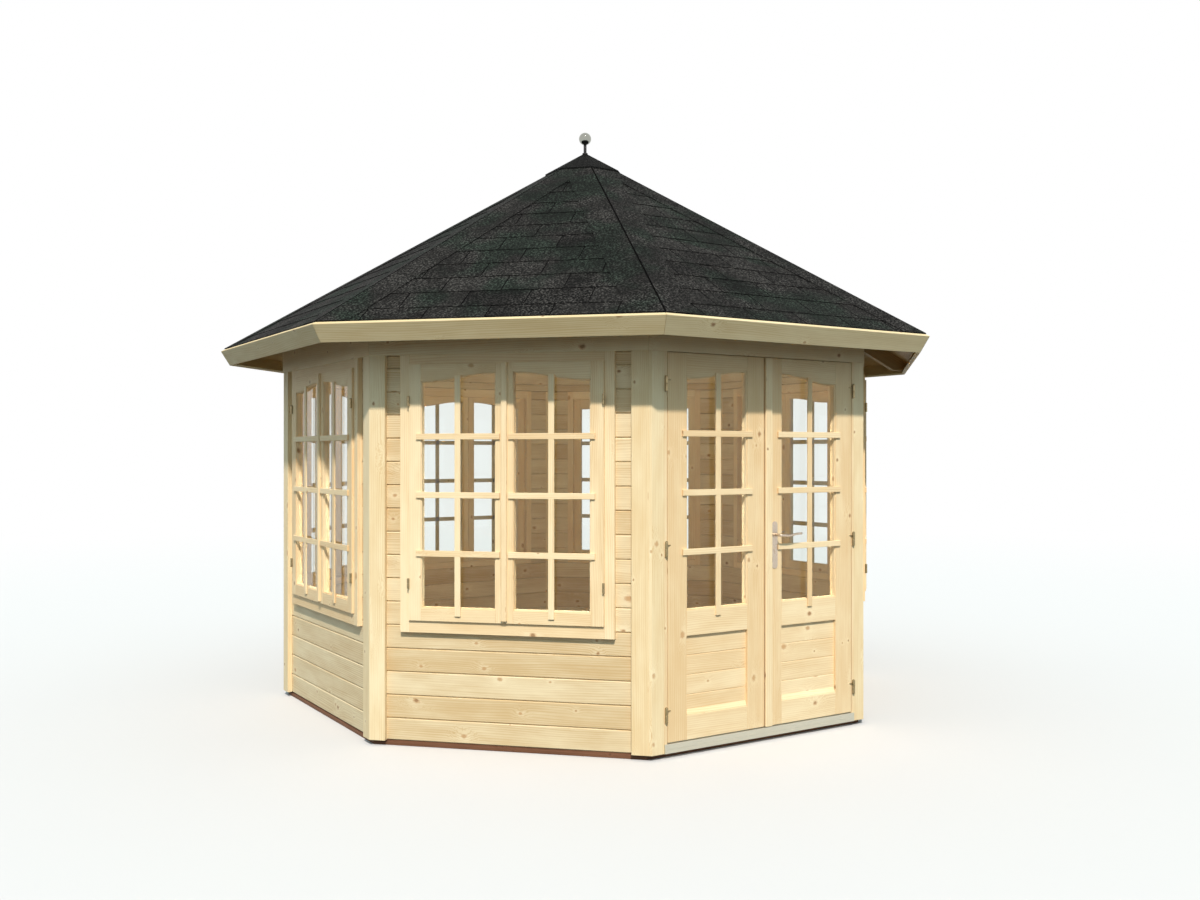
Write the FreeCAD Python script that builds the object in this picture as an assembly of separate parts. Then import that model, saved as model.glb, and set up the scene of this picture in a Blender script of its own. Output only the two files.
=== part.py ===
import FreeCAD, Part
import math
import os

# Octagonal timber garden pavilion, in millimetres, +Z up.
# The origin is at the centre of the plan, at ground level.
# The double door is in the front wall, which faces -Y.
# Every wall is drawn as the front wall and then turned into place, so in the
# helpers below u runs along the wall, to the right as seen from outside, and
# a distance "out" is measured from the centre, square to the wall.

SIDES = 8
STEP_ANGLE = 360.0 / SIDES
HALF_ANGLE = math.radians(STEP_ANGLE / 2)
WALL_NAMES = ["front", "front_left", "left", "back_left",
              "back", "back_right", "right", "front_right"]
WINDOW_WALLS = range(1, SIDES)

# Fits
mitre_gap = 0.6             # between neighbours round a ring
stack_gap = 0.5             # between the logs below a window and those beside it
swing_gap = 5.0             # least room round a moving door leaf

# Walls
log_face = 1648.0           # centre to the outer face of the logs
log_thickness = 44.0
post_leg_thickness = 27.0   # corner post leg, in front of the logs
post_leg_width = 82.0
log_lap = 28.0              # logs run this far behind a post leg
eaves_level = 1905.0        # top of the posts, underside of the ring above them

# Base and floor
foundation_height = 25.0
foundation_width = 70.0
joist_width = 45.0
joist_count = 5
floor_thickness = 19.0
floor_margin = 4.0          # between the floor's edge and the logs

# Ring over the posts
band_thickness = 32.0       # cover board in front of the upper logs
band_height = 135.0
attic_clear = 4.0           # upper logs stop this far under the roof boards

# Roof
eave_overhang = 357.0       # logs' outer face to the fascia's top outer edge
eave_rise = 122.0           # posts' top to that edge
roof_rise = 1253.0          # from that edge up to where the shingle planes would meet
fascia_drop = 83.0          # height of the fascia's leaning face
fascia_lean = 47.0          # how far its foot is set back
fascia_thickness = 22.0
shingle_thickness = 4.0
roof_board_thickness = 18.0
roof_board_start = 25.0     # boards and shingles stop this far from the centre
rafter_width = 45.0
rafter_depth = 90.0
rafter_tail_clear = 16.0    # rafter tails stop this far above the fascia's foot
hub_out = 70.0
hub_height = 115.0
hub_clear = 5.0
cap_out = 230.0
cap_thickness = 15.5
cap_flat = 14.0             # half width of the flat at the cap's tip
finial_stem_radius = 9.3
finial_ball_radius = 38.0
finial_ball_rise = 103.0    # the ball's middle over the point of the roof
finial_collar_radius = 17.0
finial_collar_height = 7.0
stem_clearance = 0.3

# Windows
casing_reveal = 79.3        # logs seen between a post leg and a casing
casing_side = 47.0
casing_foot = 57.0
casing_head = 43.0
casing_bottom = 559.0
casing_lap = 20.0           # casing covers the logs' ends by this much
sash_gap = 2.0
sash_thickness = 40.0
sash_proud = 12.0           # sash stands in front of its casing
sash_stop_lap = 13.0
sash_outer_stile = 67.5
sash_meeting_stile = 47.0
sash_bottom_rail = 67.0
sash_top_low = 90.0         # sash top to the low end of the arched light
sash_top_high = 50.0        # sash top to the high end of the arched light
sash_meeting_gap = 2.0
meeting_strip_width = 30.0
meeting_strip_thickness = 15.0
meeting_strip_foot = 12.0
meeting_strip_relief = 0.5
sash_hinge_radius = 6.0
sash_hinge_height = 50.0
sash_hinge_inset = 180.0    # from the sash's top and bottom edges

# Glass and the lattice bars laid on it
glass_thickness = 4.0
glass_bite = 10.0
glass_setback = 20.0        # glass lies this far behind the frame's face
bar_width = 29.0
bar_thickness = 9.0
bar_side_lap = 27.0
door_bar_side_lap = 32.0
bar_foot_lap = 40.0
bar_head_lap = 12.0
lattice_rows = 4
sash_lattice_drop = 22.0    # rows are set out from this far below the glass
door_lattice_drop = 8.0

# Doorway
door_casing_thickness = 11.0
door_jamb_width = 50.0
door_frame_lip = 15.0       # the jamb's strip beside the leaf's edge
door_head_depth = 45.0
threshold_height = 45.0
threshold_nose = 4.0        # in front of the leaves
leaf_thickness = 40.0
leaf_side_gap = 6.0
leaf_meeting_gap = 9.0
leaf_top_gap = 7.0
leaf_outer_stile = 114.0
leaf_meeting_stile = 111.0
leaf_bottom_rail = 115.0
leaf_panel_height = 375.0
leaf_middle_rail = 125.0
leaf_top_low = 118.0        # leaf top to the low end of the arched light
leaf_top_high = 75.0        # leaf top to the high end of the arched light
panel_thickness = 20.0
panel_bite = 8.0
panel_setback = 14.0
ledge_height = 26.0
ledge_depth = 12.0
astragal_width = 42.0
astragal_thickness = 12.0
astragal_offset = 0.5       # from the middle of the doorway

# Door hinges
hinge_foot_inset = 131.0    # leaf's bottom edge to the lowest hinge
hinge_head_inset = 144.0    # leaf's top edge to the highest hinge
hinge_radius = 7.0
hinge_height = 70.0
hinge_proud = 7.5           # axis in front of the leaf's face
hinge_pin_radius = 3.0
hinge_pin_clearance = 0.4
hinge_stem_radius = 3.5
hinge_stem_length = 44.0
hinge_stem_clearance = 0.3
hinge_leaf_slant = 20.0     # of the leaf's stems, to the face of the leaf
knuckle_gap = 0.5

# Lock and lever
lock_plate_width = 36.0
lock_plate_height = 235.0
lock_plate_thickness = 3.0
lock_plate_level = 971.5
lock_inset = 60.0           # leaf's meeting edge to the spindle
lever_level = 1022.0
lever_length = 140.0
lever_radius = 8.0
lever_reach = 46.0          # leaf face to the lever's axis
lever_play = 0.4            # between a turning piece and the plate
spindle_radius = 4.0
spindle_clearance = 0.6

# How far a cutting shape runs past what it cuts
cut_margin = 1.0


def side_half(out):
    """Half the length of an octagon side at this distance from the centre."""
    return out * math.tan(HALF_ANGLE)


# Planes and edges that follow from these sizes
post_face = log_face + post_leg_thickness
log_back = log_face - log_thickness
leg_edge = side_half(post_face) - post_leg_width
log_end = leg_edge + log_lap
floor_top = foundation_height + floor_thickness
eave_out = log_face + eave_overhang
eave_height = eaves_level + eave_rise
roof_apex = eave_height + roof_rise
roof_slope = roof_rise / eave_out
roof_cosine = math.cos(math.atan(roof_slope))
boards_top = roof_apex - shingle_thickness / roof_cosine
boards_underside = boards_top - roof_board_thickness / roof_cosine
casing_half_width = leg_edge - casing_reveal
sash_face = post_face + sash_proud
sash_back = sash_face - sash_thickness
sash_bottom = casing_bottom + casing_foot + sash_gap
sash_top = eaves_level - casing_head - sash_gap
sash_edge = casing_half_width - casing_side - sash_gap
door_face = post_face + door_casing_thickness
leaf_back = door_face - leaf_thickness
threshold_top = foundation_height + threshold_height
leaf_bottom = threshold_top + swing_gap
leaf_top = eaves_level - leaf_top_gap
leaf_outer_edge = leg_edge - door_frame_lip - leaf_side_gap
leaf_meeting_edge = leaf_meeting_gap / 2
hinge_u = leg_edge - door_frame_lip / 2
hinge_out = door_face + hinge_proud
low_hinge = leaf_bottom + hinge_foot_inset
high_hinge = leaf_top - hinge_head_inset
hinge_levels = [low_hinge, (low_hinge + high_hinge) / 2, high_hinge]
spindle_u = leaf_meeting_edge + lock_inset


def slab(u0, u1, out0, out1, z0, z1):
    """Upright block of the front wall, between two distances from the centre."""
    return Part.makeBox(u1 - u0, out1 - out0, z1 - z0, FreeCAD.Vector(u0, -out1, z0))


def turned(shape, wall):
    """Copy of a front wall shape at another wall."""
    copy = shape.copy()
    copy.rotate(FreeCAD.Vector(0, 0, 0), FreeCAD.Vector(0, 0, 1), -STEP_ANGLE * wall)
    return copy


def mirrored(shape):
    """Left-hand twin of a right-hand front wall shape."""
    return shape.mirror(FreeCAD.Vector(0, 0, 0), FreeCAD.Vector(1, 0, 0))


def ring(piece):
    """The piece at every wall."""
    return [turned(piece, wall) for wall in range(SIDES)]


def prism(points, z0, z1):
    """Upright prism over plan points given as (u, out)."""
    corners = [FreeCAD.Vector(u, -out, z0) for u, out in points]
    face = Part.Face(Part.makePolygon(corners + corners[:1]))
    return face.extrude(FreeCAD.Vector(0, 0, z1 - z0))


def sector(reach, z0, z1, gap):
    """The wedge of plan that belongs to the front wall, less half a gap each side."""
    inset = gap / 2 / math.sin(HALF_ANGLE)
    half = (reach - inset) * math.tan(HALF_ANGLE)
    return prism([(0, inset), (half, reach), (-half, reach)], z0, z1)


def mitred(profile, gap=mitre_gap):
    """Ring segment from a profile of (out, z) points, mitred at both ends."""
    reach = max(out for out, z in profile) + cut_margin
    low = min(z for out, z in profile) - cut_margin
    high = max(z for out, z in profile) + cut_margin
    width = 2 * side_half(reach)
    corners = [FreeCAD.Vector(-width / 2, -out, z) for out, z in profile]
    face = Part.Face(Part.makePolygon(corners + corners[:1]))
    return face.extrude(FreeCAD.Vector(width, 0, 0)).common(sector(reach, low, high, gap))


def octagon_frustum(out0, z0, out1, z1):
    """Solid between two level octagons with sides square to the walls."""
    wires = []
    for out, z in ((out0, z0), (out1, z1)):
        radius = out / math.cos(HALF_ANGLE)
        corners = []
        for index in range(SIDES):
            angle = HALF_ANGLE + math.radians(STEP_ANGLE) * index
            corners.append(FreeCAD.Vector(radius * math.cos(angle), radius * math.sin(angle), z))
        wires.append(Part.makePolygon(corners + corners[:1]))
    return Part.makeLoft(wires, True, True)


def plane_height(level, out):
    """Height of a roof plane, named by its height over the centre."""
    return level - roof_slope * out


def fascia_inner_foot():
    """Foot of the fascia's inner face, as (out, z)."""
    length = math.hypot(fascia_lean, fascia_drop)
    shift_in = fascia_thickness * fascia_drop / length
    shift_up = fascia_thickness * fascia_lean / length
    return eave_out - fascia_lean - shift_in, eave_height - fascia_drop + shift_up


def meets_fascia(level):
    """Where a roof plane runs into the fascia's inner face, as (out, z)."""
    foot = fascia_inner_foot()
    lean = fascia_lean / fascia_drop
    out = (foot[0] + (level - foot[1]) * lean) / (1 + roof_slope * lean)
    return out, plane_height(level, out)


def foundation_frame():
    """Treated beams laid flat on the ground under the walls."""
    inner = log_face - foundation_width
    profile = [(inner, 0), (log_face, 0), (log_face, foundation_height), (inner, foundation_height)]
    return ring(mitred(profile))


def floor_joists():
    """Bearers from front to back inside the foundation frame."""
    room = log_face - foundation_width - mitre_gap
    pitch = 2 * room / joist_count
    joists = []
    for index in range(joist_count):
        middle = (index + 0.5) * pitch - room
        outer = abs(middle) + joist_width / 2
        reach = min(room, room / math.cos(2 * HALF_ANGLE) - outer)
        joists.append(slab(middle - joist_width / 2, middle + joist_width / 2,
                           -reach, reach, 0, foundation_height))
    return joists


def floor_boards():
    """Floor laid over the bearers, up to the walls."""
    out = log_back - floor_margin
    return [octagon_frustum(out, foundation_height, out, floor_top)]


def bisected(points):
    """Plan points of one post side, followed by their twins on the next wall."""
    direction = (math.sin(HALF_ANGLE), math.cos(HALF_ANGLE))
    twins = []
    for u, out in reversed(points):
        along = u * direction[0] + out * direction[1]
        twins.append((2 * along * direction[0] - u, 2 * along * direction[1] - out))
    return twins


def corner_post():
    """Post between the front wall and the next one to its right, standing on the base."""
    arris = (side_half(post_face), post_face)
    heel = (side_half(log_back), log_back)
    side = [(leg_edge, post_face), (leg_edge, log_face), (log_end, log_face), (log_end, log_back)]
    return prism([arris] + side + [heel] + bisected(side), foundation_height, eaves_level)


def corner_posts():
    """Eight equal posts, one at the right end of each wall."""
    post = corner_post()
    return [turned(post, wall) for wall in range(SIDES)]


def log_wall():
    """Logs of a window wall, below the window and at both sides of it."""
    opening = casing_half_width - casing_lap
    opening_bottom = casing_bottom + casing_lap
    below = slab(-log_end, log_end, log_back, log_face, foundation_height, opening_bottom)
    beside = slab(opening, log_end, log_back, log_face, opening_bottom + stack_gap, eaves_level)
    return [below, beside, mirrored(beside)]


def window_frame():
    """Casing round the window, and the lining that runs through the wall."""
    half = casing_half_width - casing_lap
    lining_bottom = casing_bottom + casing_lap
    casing = slab(-casing_half_width, casing_half_width, log_face, post_face,
                  casing_bottom, eaves_level)
    lining = slab(-half, half, log_back, log_face, lining_bottom, eaves_level)
    recess = slab(-sash_edge - sash_gap, sash_edge + sash_gap, sash_back, post_face,
                  sash_bottom - sash_gap, sash_top + sash_gap)
    stop_half = sash_edge - sash_stop_lap
    through = slab(-stop_half, stop_half, log_back, sash_back,
                   sash_bottom + sash_stop_lap, sash_top - sash_stop_lap)
    return casing.fuse(lining).removeSplitter().cut(recess).cut(through)


def light_outline(u_in, u_out, z0, z_low, z_high, out):
    """Wire of a right-hand light, whose top sweeps up in an ogee to its inner side."""
    width = u_out - u_in
    rise = z_high - z_low
    turn = 2 * math.atan(rise / width)
    radius = width / 2 / math.sin(turn)
    part_u = radius * math.sin(turn / 2)
    part_z = radius * (1 - math.cos(turn / 2))
    low = FreeCAD.Vector(u_out, -out, z_low)
    low_arc = FreeCAD.Vector(u_out - part_u, -out, z_low + part_z)
    middle = FreeCAD.Vector((u_in + u_out) / 2, -out, (z_low + z_high) / 2)
    high_arc = FreeCAD.Vector(u_in + part_u, -out, z_high - part_z)
    high = FreeCAD.Vector(u_in, -out, z_high)
    foot_in = FreeCAD.Vector(u_in, -out, z0)
    foot_out = FreeCAD.Vector(u_out, -out, z0)
    edges = [Part.makeLine(foot_in, foot_out), Part.makeLine(foot_out, low),
             Part.Arc(low, low_arc, middle).toShape(), Part.Arc(middle, high_arc, high).toShape(),
             Part.makeLine(high, foot_in)]
    return Part.Wire(edges)


def light_hole(light, out0, out1):
    """Block that cuts the light through a frame."""
    u_in, u_out, z0, z_low, z_high = light
    face = Part.Face(light_outline(u_in, u_out, z0, z_low, z_high, out1))
    return face.extrude(FreeCAD.Vector(0, out1 - out0, 0))


def pane(light, face_out):
    """Glass that fills its groove behind the light."""
    u_in, u_out, z0, z_low, z_high = light
    front = face_out - glass_setback
    return slab(u_in - glass_bite, u_out + glass_bite, front - glass_thickness, front,
                z0 - glass_bite, z_high + glass_bite)


def lattice(light, drop, side_lap, face_out):
    """One upright bar and three level bars on the face of a light's frame."""
    u_in, u_out, z0, z_low, z_high = light
    middle = (u_in + u_out) / 2
    z_middle = (z_low + z_high) / 2
    front = face_out + bar_thickness
    upright = slab(middle - bar_width / 2, middle + bar_width / 2, face_out, front,
                   z0 - bar_foot_lap, z_middle + bar_head_lap)
    bars = [upright]
    pitch = (z_middle - z0 + drop) / lattice_rows
    for row in range(1, lattice_rows):
        level = z0 - drop + row * pitch
        bars.append(slab(u_in - side_lap, u_out + side_lap, face_out, front,
                         level - bar_width / 2, level + bar_width / 2))
    return bars


def sash_light():
    """Light of the right-hand casement: both sides, foot, low and high end."""
    return (sash_meeting_gap / 2 + sash_meeting_stile, sash_edge - sash_outer_stile,
            sash_bottom + sash_bottom_rail, sash_top - sash_top_low, sash_top - sash_top_high)


def sash():
    """Right-hand casement with its lattice bars."""
    light = sash_light()
    frame = slab(sash_meeting_gap / 2, sash_edge, sash_back, sash_face, sash_bottom, sash_top)
    frame = frame.cut(light_hole(light, sash_back, sash_face)).cut(pane(light, sash_face))
    bars = lattice(light, sash_lattice_drop, bar_side_lap, sash_face)
    return frame.multiFuse(bars).removeSplitter()


def window_sashes():
    """Both casements, with the strip that covers their meeting on the right one."""
    right = sash()
    front = sash_face + meeting_strip_thickness
    foot = sash_bottom + meeting_strip_foot
    strip = slab(-meeting_strip_width / 2, meeting_strip_width / 2, sash_face, front, foot, sash_top)
    relief = slab(-meeting_strip_width / 2, sash_meeting_gap / 2, sash_face,
                  sash_face + meeting_strip_relief, foot, sash_top)
    return [right.fuse(strip.cut(relief)).removeSplitter(), mirrored(right)]


def window_hinges():
    """Barrels at the outer edges of the casements, two to each."""
    out = sash_face + sash_hinge_radius
    hinges = []
    for level in (sash_bottom + sash_hinge_inset, sash_top - sash_hinge_inset):
        for side in (-1, 1):
            base = FreeCAD.Vector(side * sash_edge, -out, level - sash_hinge_height / 2)
            hinges.append(Part.makeCylinder(sash_hinge_radius, sash_hinge_height, base))
    return hinges


def window_glass():
    """Two panes for each window."""
    right = pane(sash_light(), sash_face)
    left = mirrored(right)
    return [turned(sheet, wall) for wall in WINDOW_WALLS for sheet in (right, left)]


def door_casing():
    """Flat board in front of the right door post's leg, out to the next wall's plane."""
    turn = math.radians(STEP_ANGLE)
    corner = (post_face - door_face * math.cos(turn)) / math.sin(turn)
    points = [(leg_edge, post_face), (leg_edge, door_face), (corner, door_face),
              (side_half(post_face), post_face)]
    return prism(points, foundation_height, eaves_level)


def door_jamb():
    """Right-hand jamb: a lining that the leaf closes against, and a strip beside its edge."""
    back = leaf_back - swing_gap
    jamb = slab(log_end - door_jamb_width, log_end, log_back, back,
                foundation_height, eaves_level)
    strip = slab(leg_edge - door_frame_lip, leg_edge, back, door_face,
                 threshold_top, eaves_level)
    jamb = jamb.fuse(strip).removeSplitter()
    for hole in hinge_stems(hinge_stem_clearance, 1):
        jamb = jamb.cut(hole)
    return jamb


def door_head():
    """Lining over the leaves, between the jambs."""
    half = log_end - door_jamb_width
    return slab(-half, half, log_back, leaf_back - swing_gap,
                eaves_level - door_head_depth, eaves_level)


def door_threshold():
    """Metal sill under the leaves, from jamb to jamb and from leg to leg."""
    inner_half = log_end - door_jamb_width
    step = leaf_back - swing_gap
    inner = slab(-inner_half, inner_half, log_back, step, foundation_height, threshold_top)
    outer = slab(-leg_edge, leg_edge, step, door_face + threshold_nose,
                 foundation_height, threshold_top)
    return inner.fuse(outer).removeSplitter()


def leaf_light():
    """Light of the right-hand leaf: both sides, foot, low and high end."""
    foot = leaf_bottom + leaf_bottom_rail + leaf_panel_height + leaf_middle_rail
    return (leaf_meeting_edge + leaf_meeting_stile, leaf_outer_edge - leaf_outer_stile,
            foot, leaf_top - leaf_top_low, leaf_top - leaf_top_high)


def leaf_panel():
    """Boarded panel of the right-hand leaf, held in its groove."""
    u_in, u_out, z0, z_low, z_high = leaf_light()
    foot = leaf_bottom + leaf_bottom_rail
    front = door_face - panel_setback
    return slab(u_in - panel_bite, u_out + panel_bite, front - panel_thickness, front,
                foot - panel_bite, foot + leaf_panel_height + panel_bite)


def leaf_frame():
    """Right-hand leaf with its light, panel opening and lattice bars."""
    light = leaf_light()
    u_in, u_out, z0, z_low, z_high = light
    foot = leaf_bottom + leaf_bottom_rail
    frame = slab(leaf_meeting_edge, leaf_outer_edge, leaf_back, door_face, leaf_bottom, leaf_top)
    frame = frame.cut(light_hole(light, leaf_back, door_face)).cut(pane(light, door_face))
    opening = slab(u_in, u_out, leaf_back, door_face, foot, foot + leaf_panel_height)
    frame = frame.cut(opening).cut(leaf_panel())
    for hole in hinge_stems(hinge_stem_clearance, -1):
        frame = frame.cut(hole)
    bars = lattice(light, door_lattice_drop, door_bar_side_lap, door_face)
    return frame.multiFuse(bars).removeSplitter()


def leaf_ledge():
    """Weather ledge at the foot of the right-hand panel, sloping outward."""
    u_in, u_out, z0, z_low, z_high = leaf_light()
    foot = leaf_bottom + leaf_bottom_rail
    back = door_face - panel_setback
    corners = [(back, foot), (back + ledge_depth, foot), (back, foot + ledge_height)]
    points = [FreeCAD.Vector(u_in, -out, z) for out, z in corners]
    face = Part.Face(Part.makePolygon(points + points[:1]))
    return face.extrude(FreeCAD.Vector(u_out - u_in, 0, 0))


def astragal():
    """Strip on the right leaf's meeting stile, in front of the gap."""
    return slab(astragal_offset, astragal_offset + astragal_width, door_face,
                door_face + astragal_thickness, leaf_bottom, leaf_top)


def hinge_stems(clearance, side):
    """Stems of the right-hand hinges: side 1 goes into the jamb, -1 into the leaf."""
    slant = math.radians(hinge_leaf_slant)
    start = 0.0 if clearance == 0 else -hinge_radius
    if side == 1:
        direction = FreeCAD.Vector(0, 1, 0)
    else:
        direction = FreeCAD.Vector(-math.cos(slant), math.sin(slant), 0)
    stems = []
    for level in hinge_levels:
        height = level - side * hinge_height / 4
        base = FreeCAD.Vector(hinge_u, -hinge_out, height) + direction * start
        length = hinge_stem_length + clearance - start
        stems.append(Part.makeCylinder(hinge_stem_radius + clearance, length, base, direction))
    return stems


def knuckle(level, side):
    """Half a barrel: side 1 is the lower, fixed half, -1 the upper half."""
    half = (hinge_height - knuckle_gap) / 2
    bottom = level - hinge_height / 2 if side == 1 else level + knuckle_gap / 2
    base = FreeCAD.Vector(hinge_u, -hinge_out, bottom)
    return Part.makeCylinder(hinge_radius, half, base)


def fixed_hinges():
    """Right-hand lower knuckles, each with its stem and standing pin."""
    pieces = []
    for level, stem in zip(hinge_levels, hinge_stems(0, 1)):
        base = FreeCAD.Vector(hinge_u, -hinge_out, level - hinge_height / 4)
        pin = Part.makeCylinder(hinge_pin_radius, hinge_height * 0.7, base)
        pieces.append(knuckle(level, 1).fuse(stem).fuse(pin).removeSplitter())
    return pieces


def leaf_hinges():
    """Right-hand upper knuckles, bored for the pin."""
    pieces = []
    for level, stem in zip(hinge_levels, hinge_stems(0, -1)):
        base = FreeCAD.Vector(hinge_u, -hinge_out, level)
        bore = Part.makeCylinder(hinge_pin_radius + hinge_pin_clearance,
                                 hinge_height * 0.45 + knuckle_gap, base)
        pieces.append(knuckle(level, -1).fuse(stem).cut(bore).removeSplitter())
    return pieces


def spindle_hole():
    """Hole for the spindle through the right leaf and both plates."""
    base = FreeCAD.Vector(spindle_u, -door_face - lever_reach, lever_level)
    length = 2 * lever_reach + leaf_thickness
    return Part.makeCylinder(spindle_radius + spindle_clearance, length, base,
                             FreeCAD.Vector(0, 1, 0))


def lock_plates():
    """Long plate on each face of the right leaf."""
    z0 = lock_plate_level - lock_plate_height / 2
    z1 = lock_plate_level + lock_plate_height / 2
    plates = []
    for out in (door_face, leaf_back - lock_plate_thickness):
        plate = slab(spindle_u - lock_plate_width / 2, spindle_u + lock_plate_width / 2,
                     out, out + lock_plate_thickness, z0, z1)
        plates.append(plate.cut(spindle_hole()))
    return plates


def lever_arm(out, inward):
    """Neck and handle on one side of the leaf; inward is 1 outside and -1 inside."""
    neck_length = lever_reach - lock_plate_thickness - lever_play
    start = FreeCAD.Vector(spindle_u, -out, lever_level)
    tip = FreeCAD.Vector(spindle_u + lever_length, -out, lever_level)
    neck = Part.makeCylinder(lever_radius, neck_length, start, FreeCAD.Vector(0, inward, 0))
    arm = Part.makeCylinder(lever_radius, lever_length, start, FreeCAD.Vector(1, 0, 0))
    ends = [Part.makeSphere(lever_radius, start), Part.makeSphere(lever_radius, tip)]
    return neck.multiFuse([arm] + ends)


def door_lever():
    """Lever outside and inside on one spindle."""
    outside = lever_arm(door_face + lever_reach, 1)
    inside = lever_arm(leaf_back - lever_reach, -1)
    base = FreeCAD.Vector(spindle_u, -door_face - lever_reach, lever_level)
    spindle = Part.makeCylinder(spindle_radius, 2 * lever_reach + leaf_thickness, base,
                                FreeCAD.Vector(0, 1, 0))
    return outside.multiFuse([inside, spindle]).removeSplitter()


def rafter(headroom=0.0):
    """Rafter under the hip at the front wall's right end, or its notch with headroom."""
    hip_slope = roof_slope * math.cos(HALF_ANGLE)
    side_drop = rafter_width / 2 * math.sin(HALF_ANGLE) * roof_slope
    rafter_top = boards_underside - side_drop
    low_level = rafter_top - rafter_depth / math.cos(math.atan(hip_slope))
    top_level = rafter_top + headroom
    foot = fascia_inner_foot()
    tail_bottom = foot[1] + rafter_tail_clear
    lean = fascia_lean / fascia_drop
    side_back = rafter_width / 2 * math.sin(HALF_ANGLE)
    tail_low = (foot[0] + rafter_tail_clear * lean - side_back) / math.cos(HALF_ANGLE)
    tail_reach = foot[0] - side_back + (top_level - foot[1]) * lean
    tail_high = tail_reach / (math.cos(HALF_ANGLE) + hip_slope * lean)
    profile = [(hub_out, top_level - hip_slope * hub_out),
               (tail_high, top_level - hip_slope * tail_high),
               (tail_low, tail_bottom),
               ((low_level - tail_bottom) / hip_slope, tail_bottom),
               (hub_out, low_level - hip_slope * hub_out)]
    corners = [FreeCAD.Vector(-rafter_width / 2, -reach, z) for reach, z in profile]
    face = Part.Face(Part.makePolygon(corners + corners[:1]))
    bar = face.extrude(FreeCAD.Vector(rafter_width, 0, 0))
    bar.rotate(FreeCAD.Vector(0, 0, 0), FreeCAD.Vector(0, 0, 1), STEP_ANGLE / 2)
    return bar


def rafter_hub():
    """Block at the top that the rafters butt against."""
    radius = hub_out / math.cos(HALF_ANGLE)
    top = plane_height(boards_underside, radius) - hub_clear
    block = octagon_frustum(hub_out, top - hub_height, hub_out, top)
    block.rotate(FreeCAD.Vector(0, 0, 0), FreeCAD.Vector(0, 0, 1), STEP_ANGLE / 2)
    return block


def upper_logs():
    """Logs over the posts, up to the roof, notched for the rafters."""
    level = boards_underside - attic_clear
    profile = [(log_back, eaves_level), (log_face, eaves_level),
               (log_face, plane_height(level, log_face)), (log_back, plane_height(level, log_back))]
    segment = mitred(profile)
    notch = rafter(rafter_depth)
    return ring(segment.cut(notch).cut(turned(notch, 1)))


def eaves_band():
    """Cover boards in front of the upper logs, over the posts and windows."""
    outer = log_face + band_thickness
    top = eaves_level + band_height
    profile = [(log_face, eaves_level), (outer, eaves_level), (outer, top), (log_face, top)]
    return ring(mitred(profile))


def roof_layer(top_level, bottom_level):
    """One layer of the roof, from near the centre to the fascia."""
    profile = [(roof_board_start, plane_height(bottom_level, roof_board_start)),
               meets_fascia(bottom_level), meets_fascia(top_level),
               (roof_board_start, plane_height(top_level, roof_board_start))]
    return ring(mitred(profile))


def fascia():
    """Leaning boards round the eaves, whose top edge lies in the roof plane."""
    profile = [fascia_inner_foot(), (eave_out - fascia_lean, eave_height - fascia_drop),
               (eave_out, eave_height), meets_fascia(roof_apex)]
    return ring(mitred(profile))


def roof_cap():
    """Eight-sided cap over the point of the roof, with a hole for the finial."""
    rim = plane_height(roof_apex, cap_out)
    skirt = octagon_frustum(cap_out, rim, cap_out, rim + cap_thickness)
    tip = plane_height(roof_apex, cap_flat)
    cone = octagon_frustum(cap_out, rim + cap_thickness, cap_flat, tip + cap_thickness)
    hollow = octagon_frustum(cap_out, rim, cap_flat, tip)
    hole = Part.makeCylinder(finial_stem_radius + stem_clearance, roof_apex + cap_thickness)
    return skirt.fuse(cone).removeSplitter().cut(hollow).cut(hole)


def finial():
    """Stem from the rafter hub, collar on the cap, and the ball on top."""
    hub_top = rafter_hub().BoundBox.ZMax
    ball_level = roof_apex + finial_ball_rise
    stem = Part.makeCylinder(finial_stem_radius, ball_level - hub_top,
                             FreeCAD.Vector(0, 0, hub_top))
    seat = plane_height(roof_apex, cap_flat) + cap_thickness
    collar = Part.makeCylinder(finial_collar_radius, finial_collar_height,
                               FreeCAD.Vector(0, 0, seat))
    ball = Part.makeSphere(finial_ball_radius, FreeCAD.Vector(0, 0, ball_level))
    return stem.multiFuse([collar, ball]).removeSplitter()


def write(name, solids):
    """Write the named sub-part as one STEP file."""
    shape = solids[0] if len(solids) == 1 else Part.makeCompound(solids)
    shape.exportStep("parts/" + name + ".step")
    print(name, len(shape.Solids), "solids", round(shape.Volume / 1e6, 2), "litres")


def write_base():
    write("foundation_frame", foundation_frame())
    write("floor_joists", floor_joists())
    write("floor_boards", floor_boards())


def write_walls():
    write("corner_posts", corner_posts())
    logs = log_wall()
    frame = window_frame()
    sashes = window_sashes()
    for wall in WINDOW_WALLS:
        name = WALL_NAMES[wall]
        write(name + "_log_wall", [turned(piece, wall) for piece in logs])
        write(name + "_window_frame", [turned(frame, wall)])
        write(name + "_window_sashes", [turned(piece, wall) for piece in sashes])
    hinges = window_hinges()
    write("window_hinges", [turned(piece, wall) for wall in WINDOW_WALLS for piece in hinges])
    write("window_glass", window_glass())


def write_doorway():
    casing = door_casing()
    jamb = door_jamb()
    fixed = fixed_hinges()
    write("door_casings", [casing, mirrored(casing)])
    write("door_jambs", [jamb, mirrored(jamb)])
    write("door_head", [door_head()])
    write("door_threshold", [door_threshold()])
    write("door_hinge_pins", fixed + [mirrored(piece) for piece in fixed])


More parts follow.
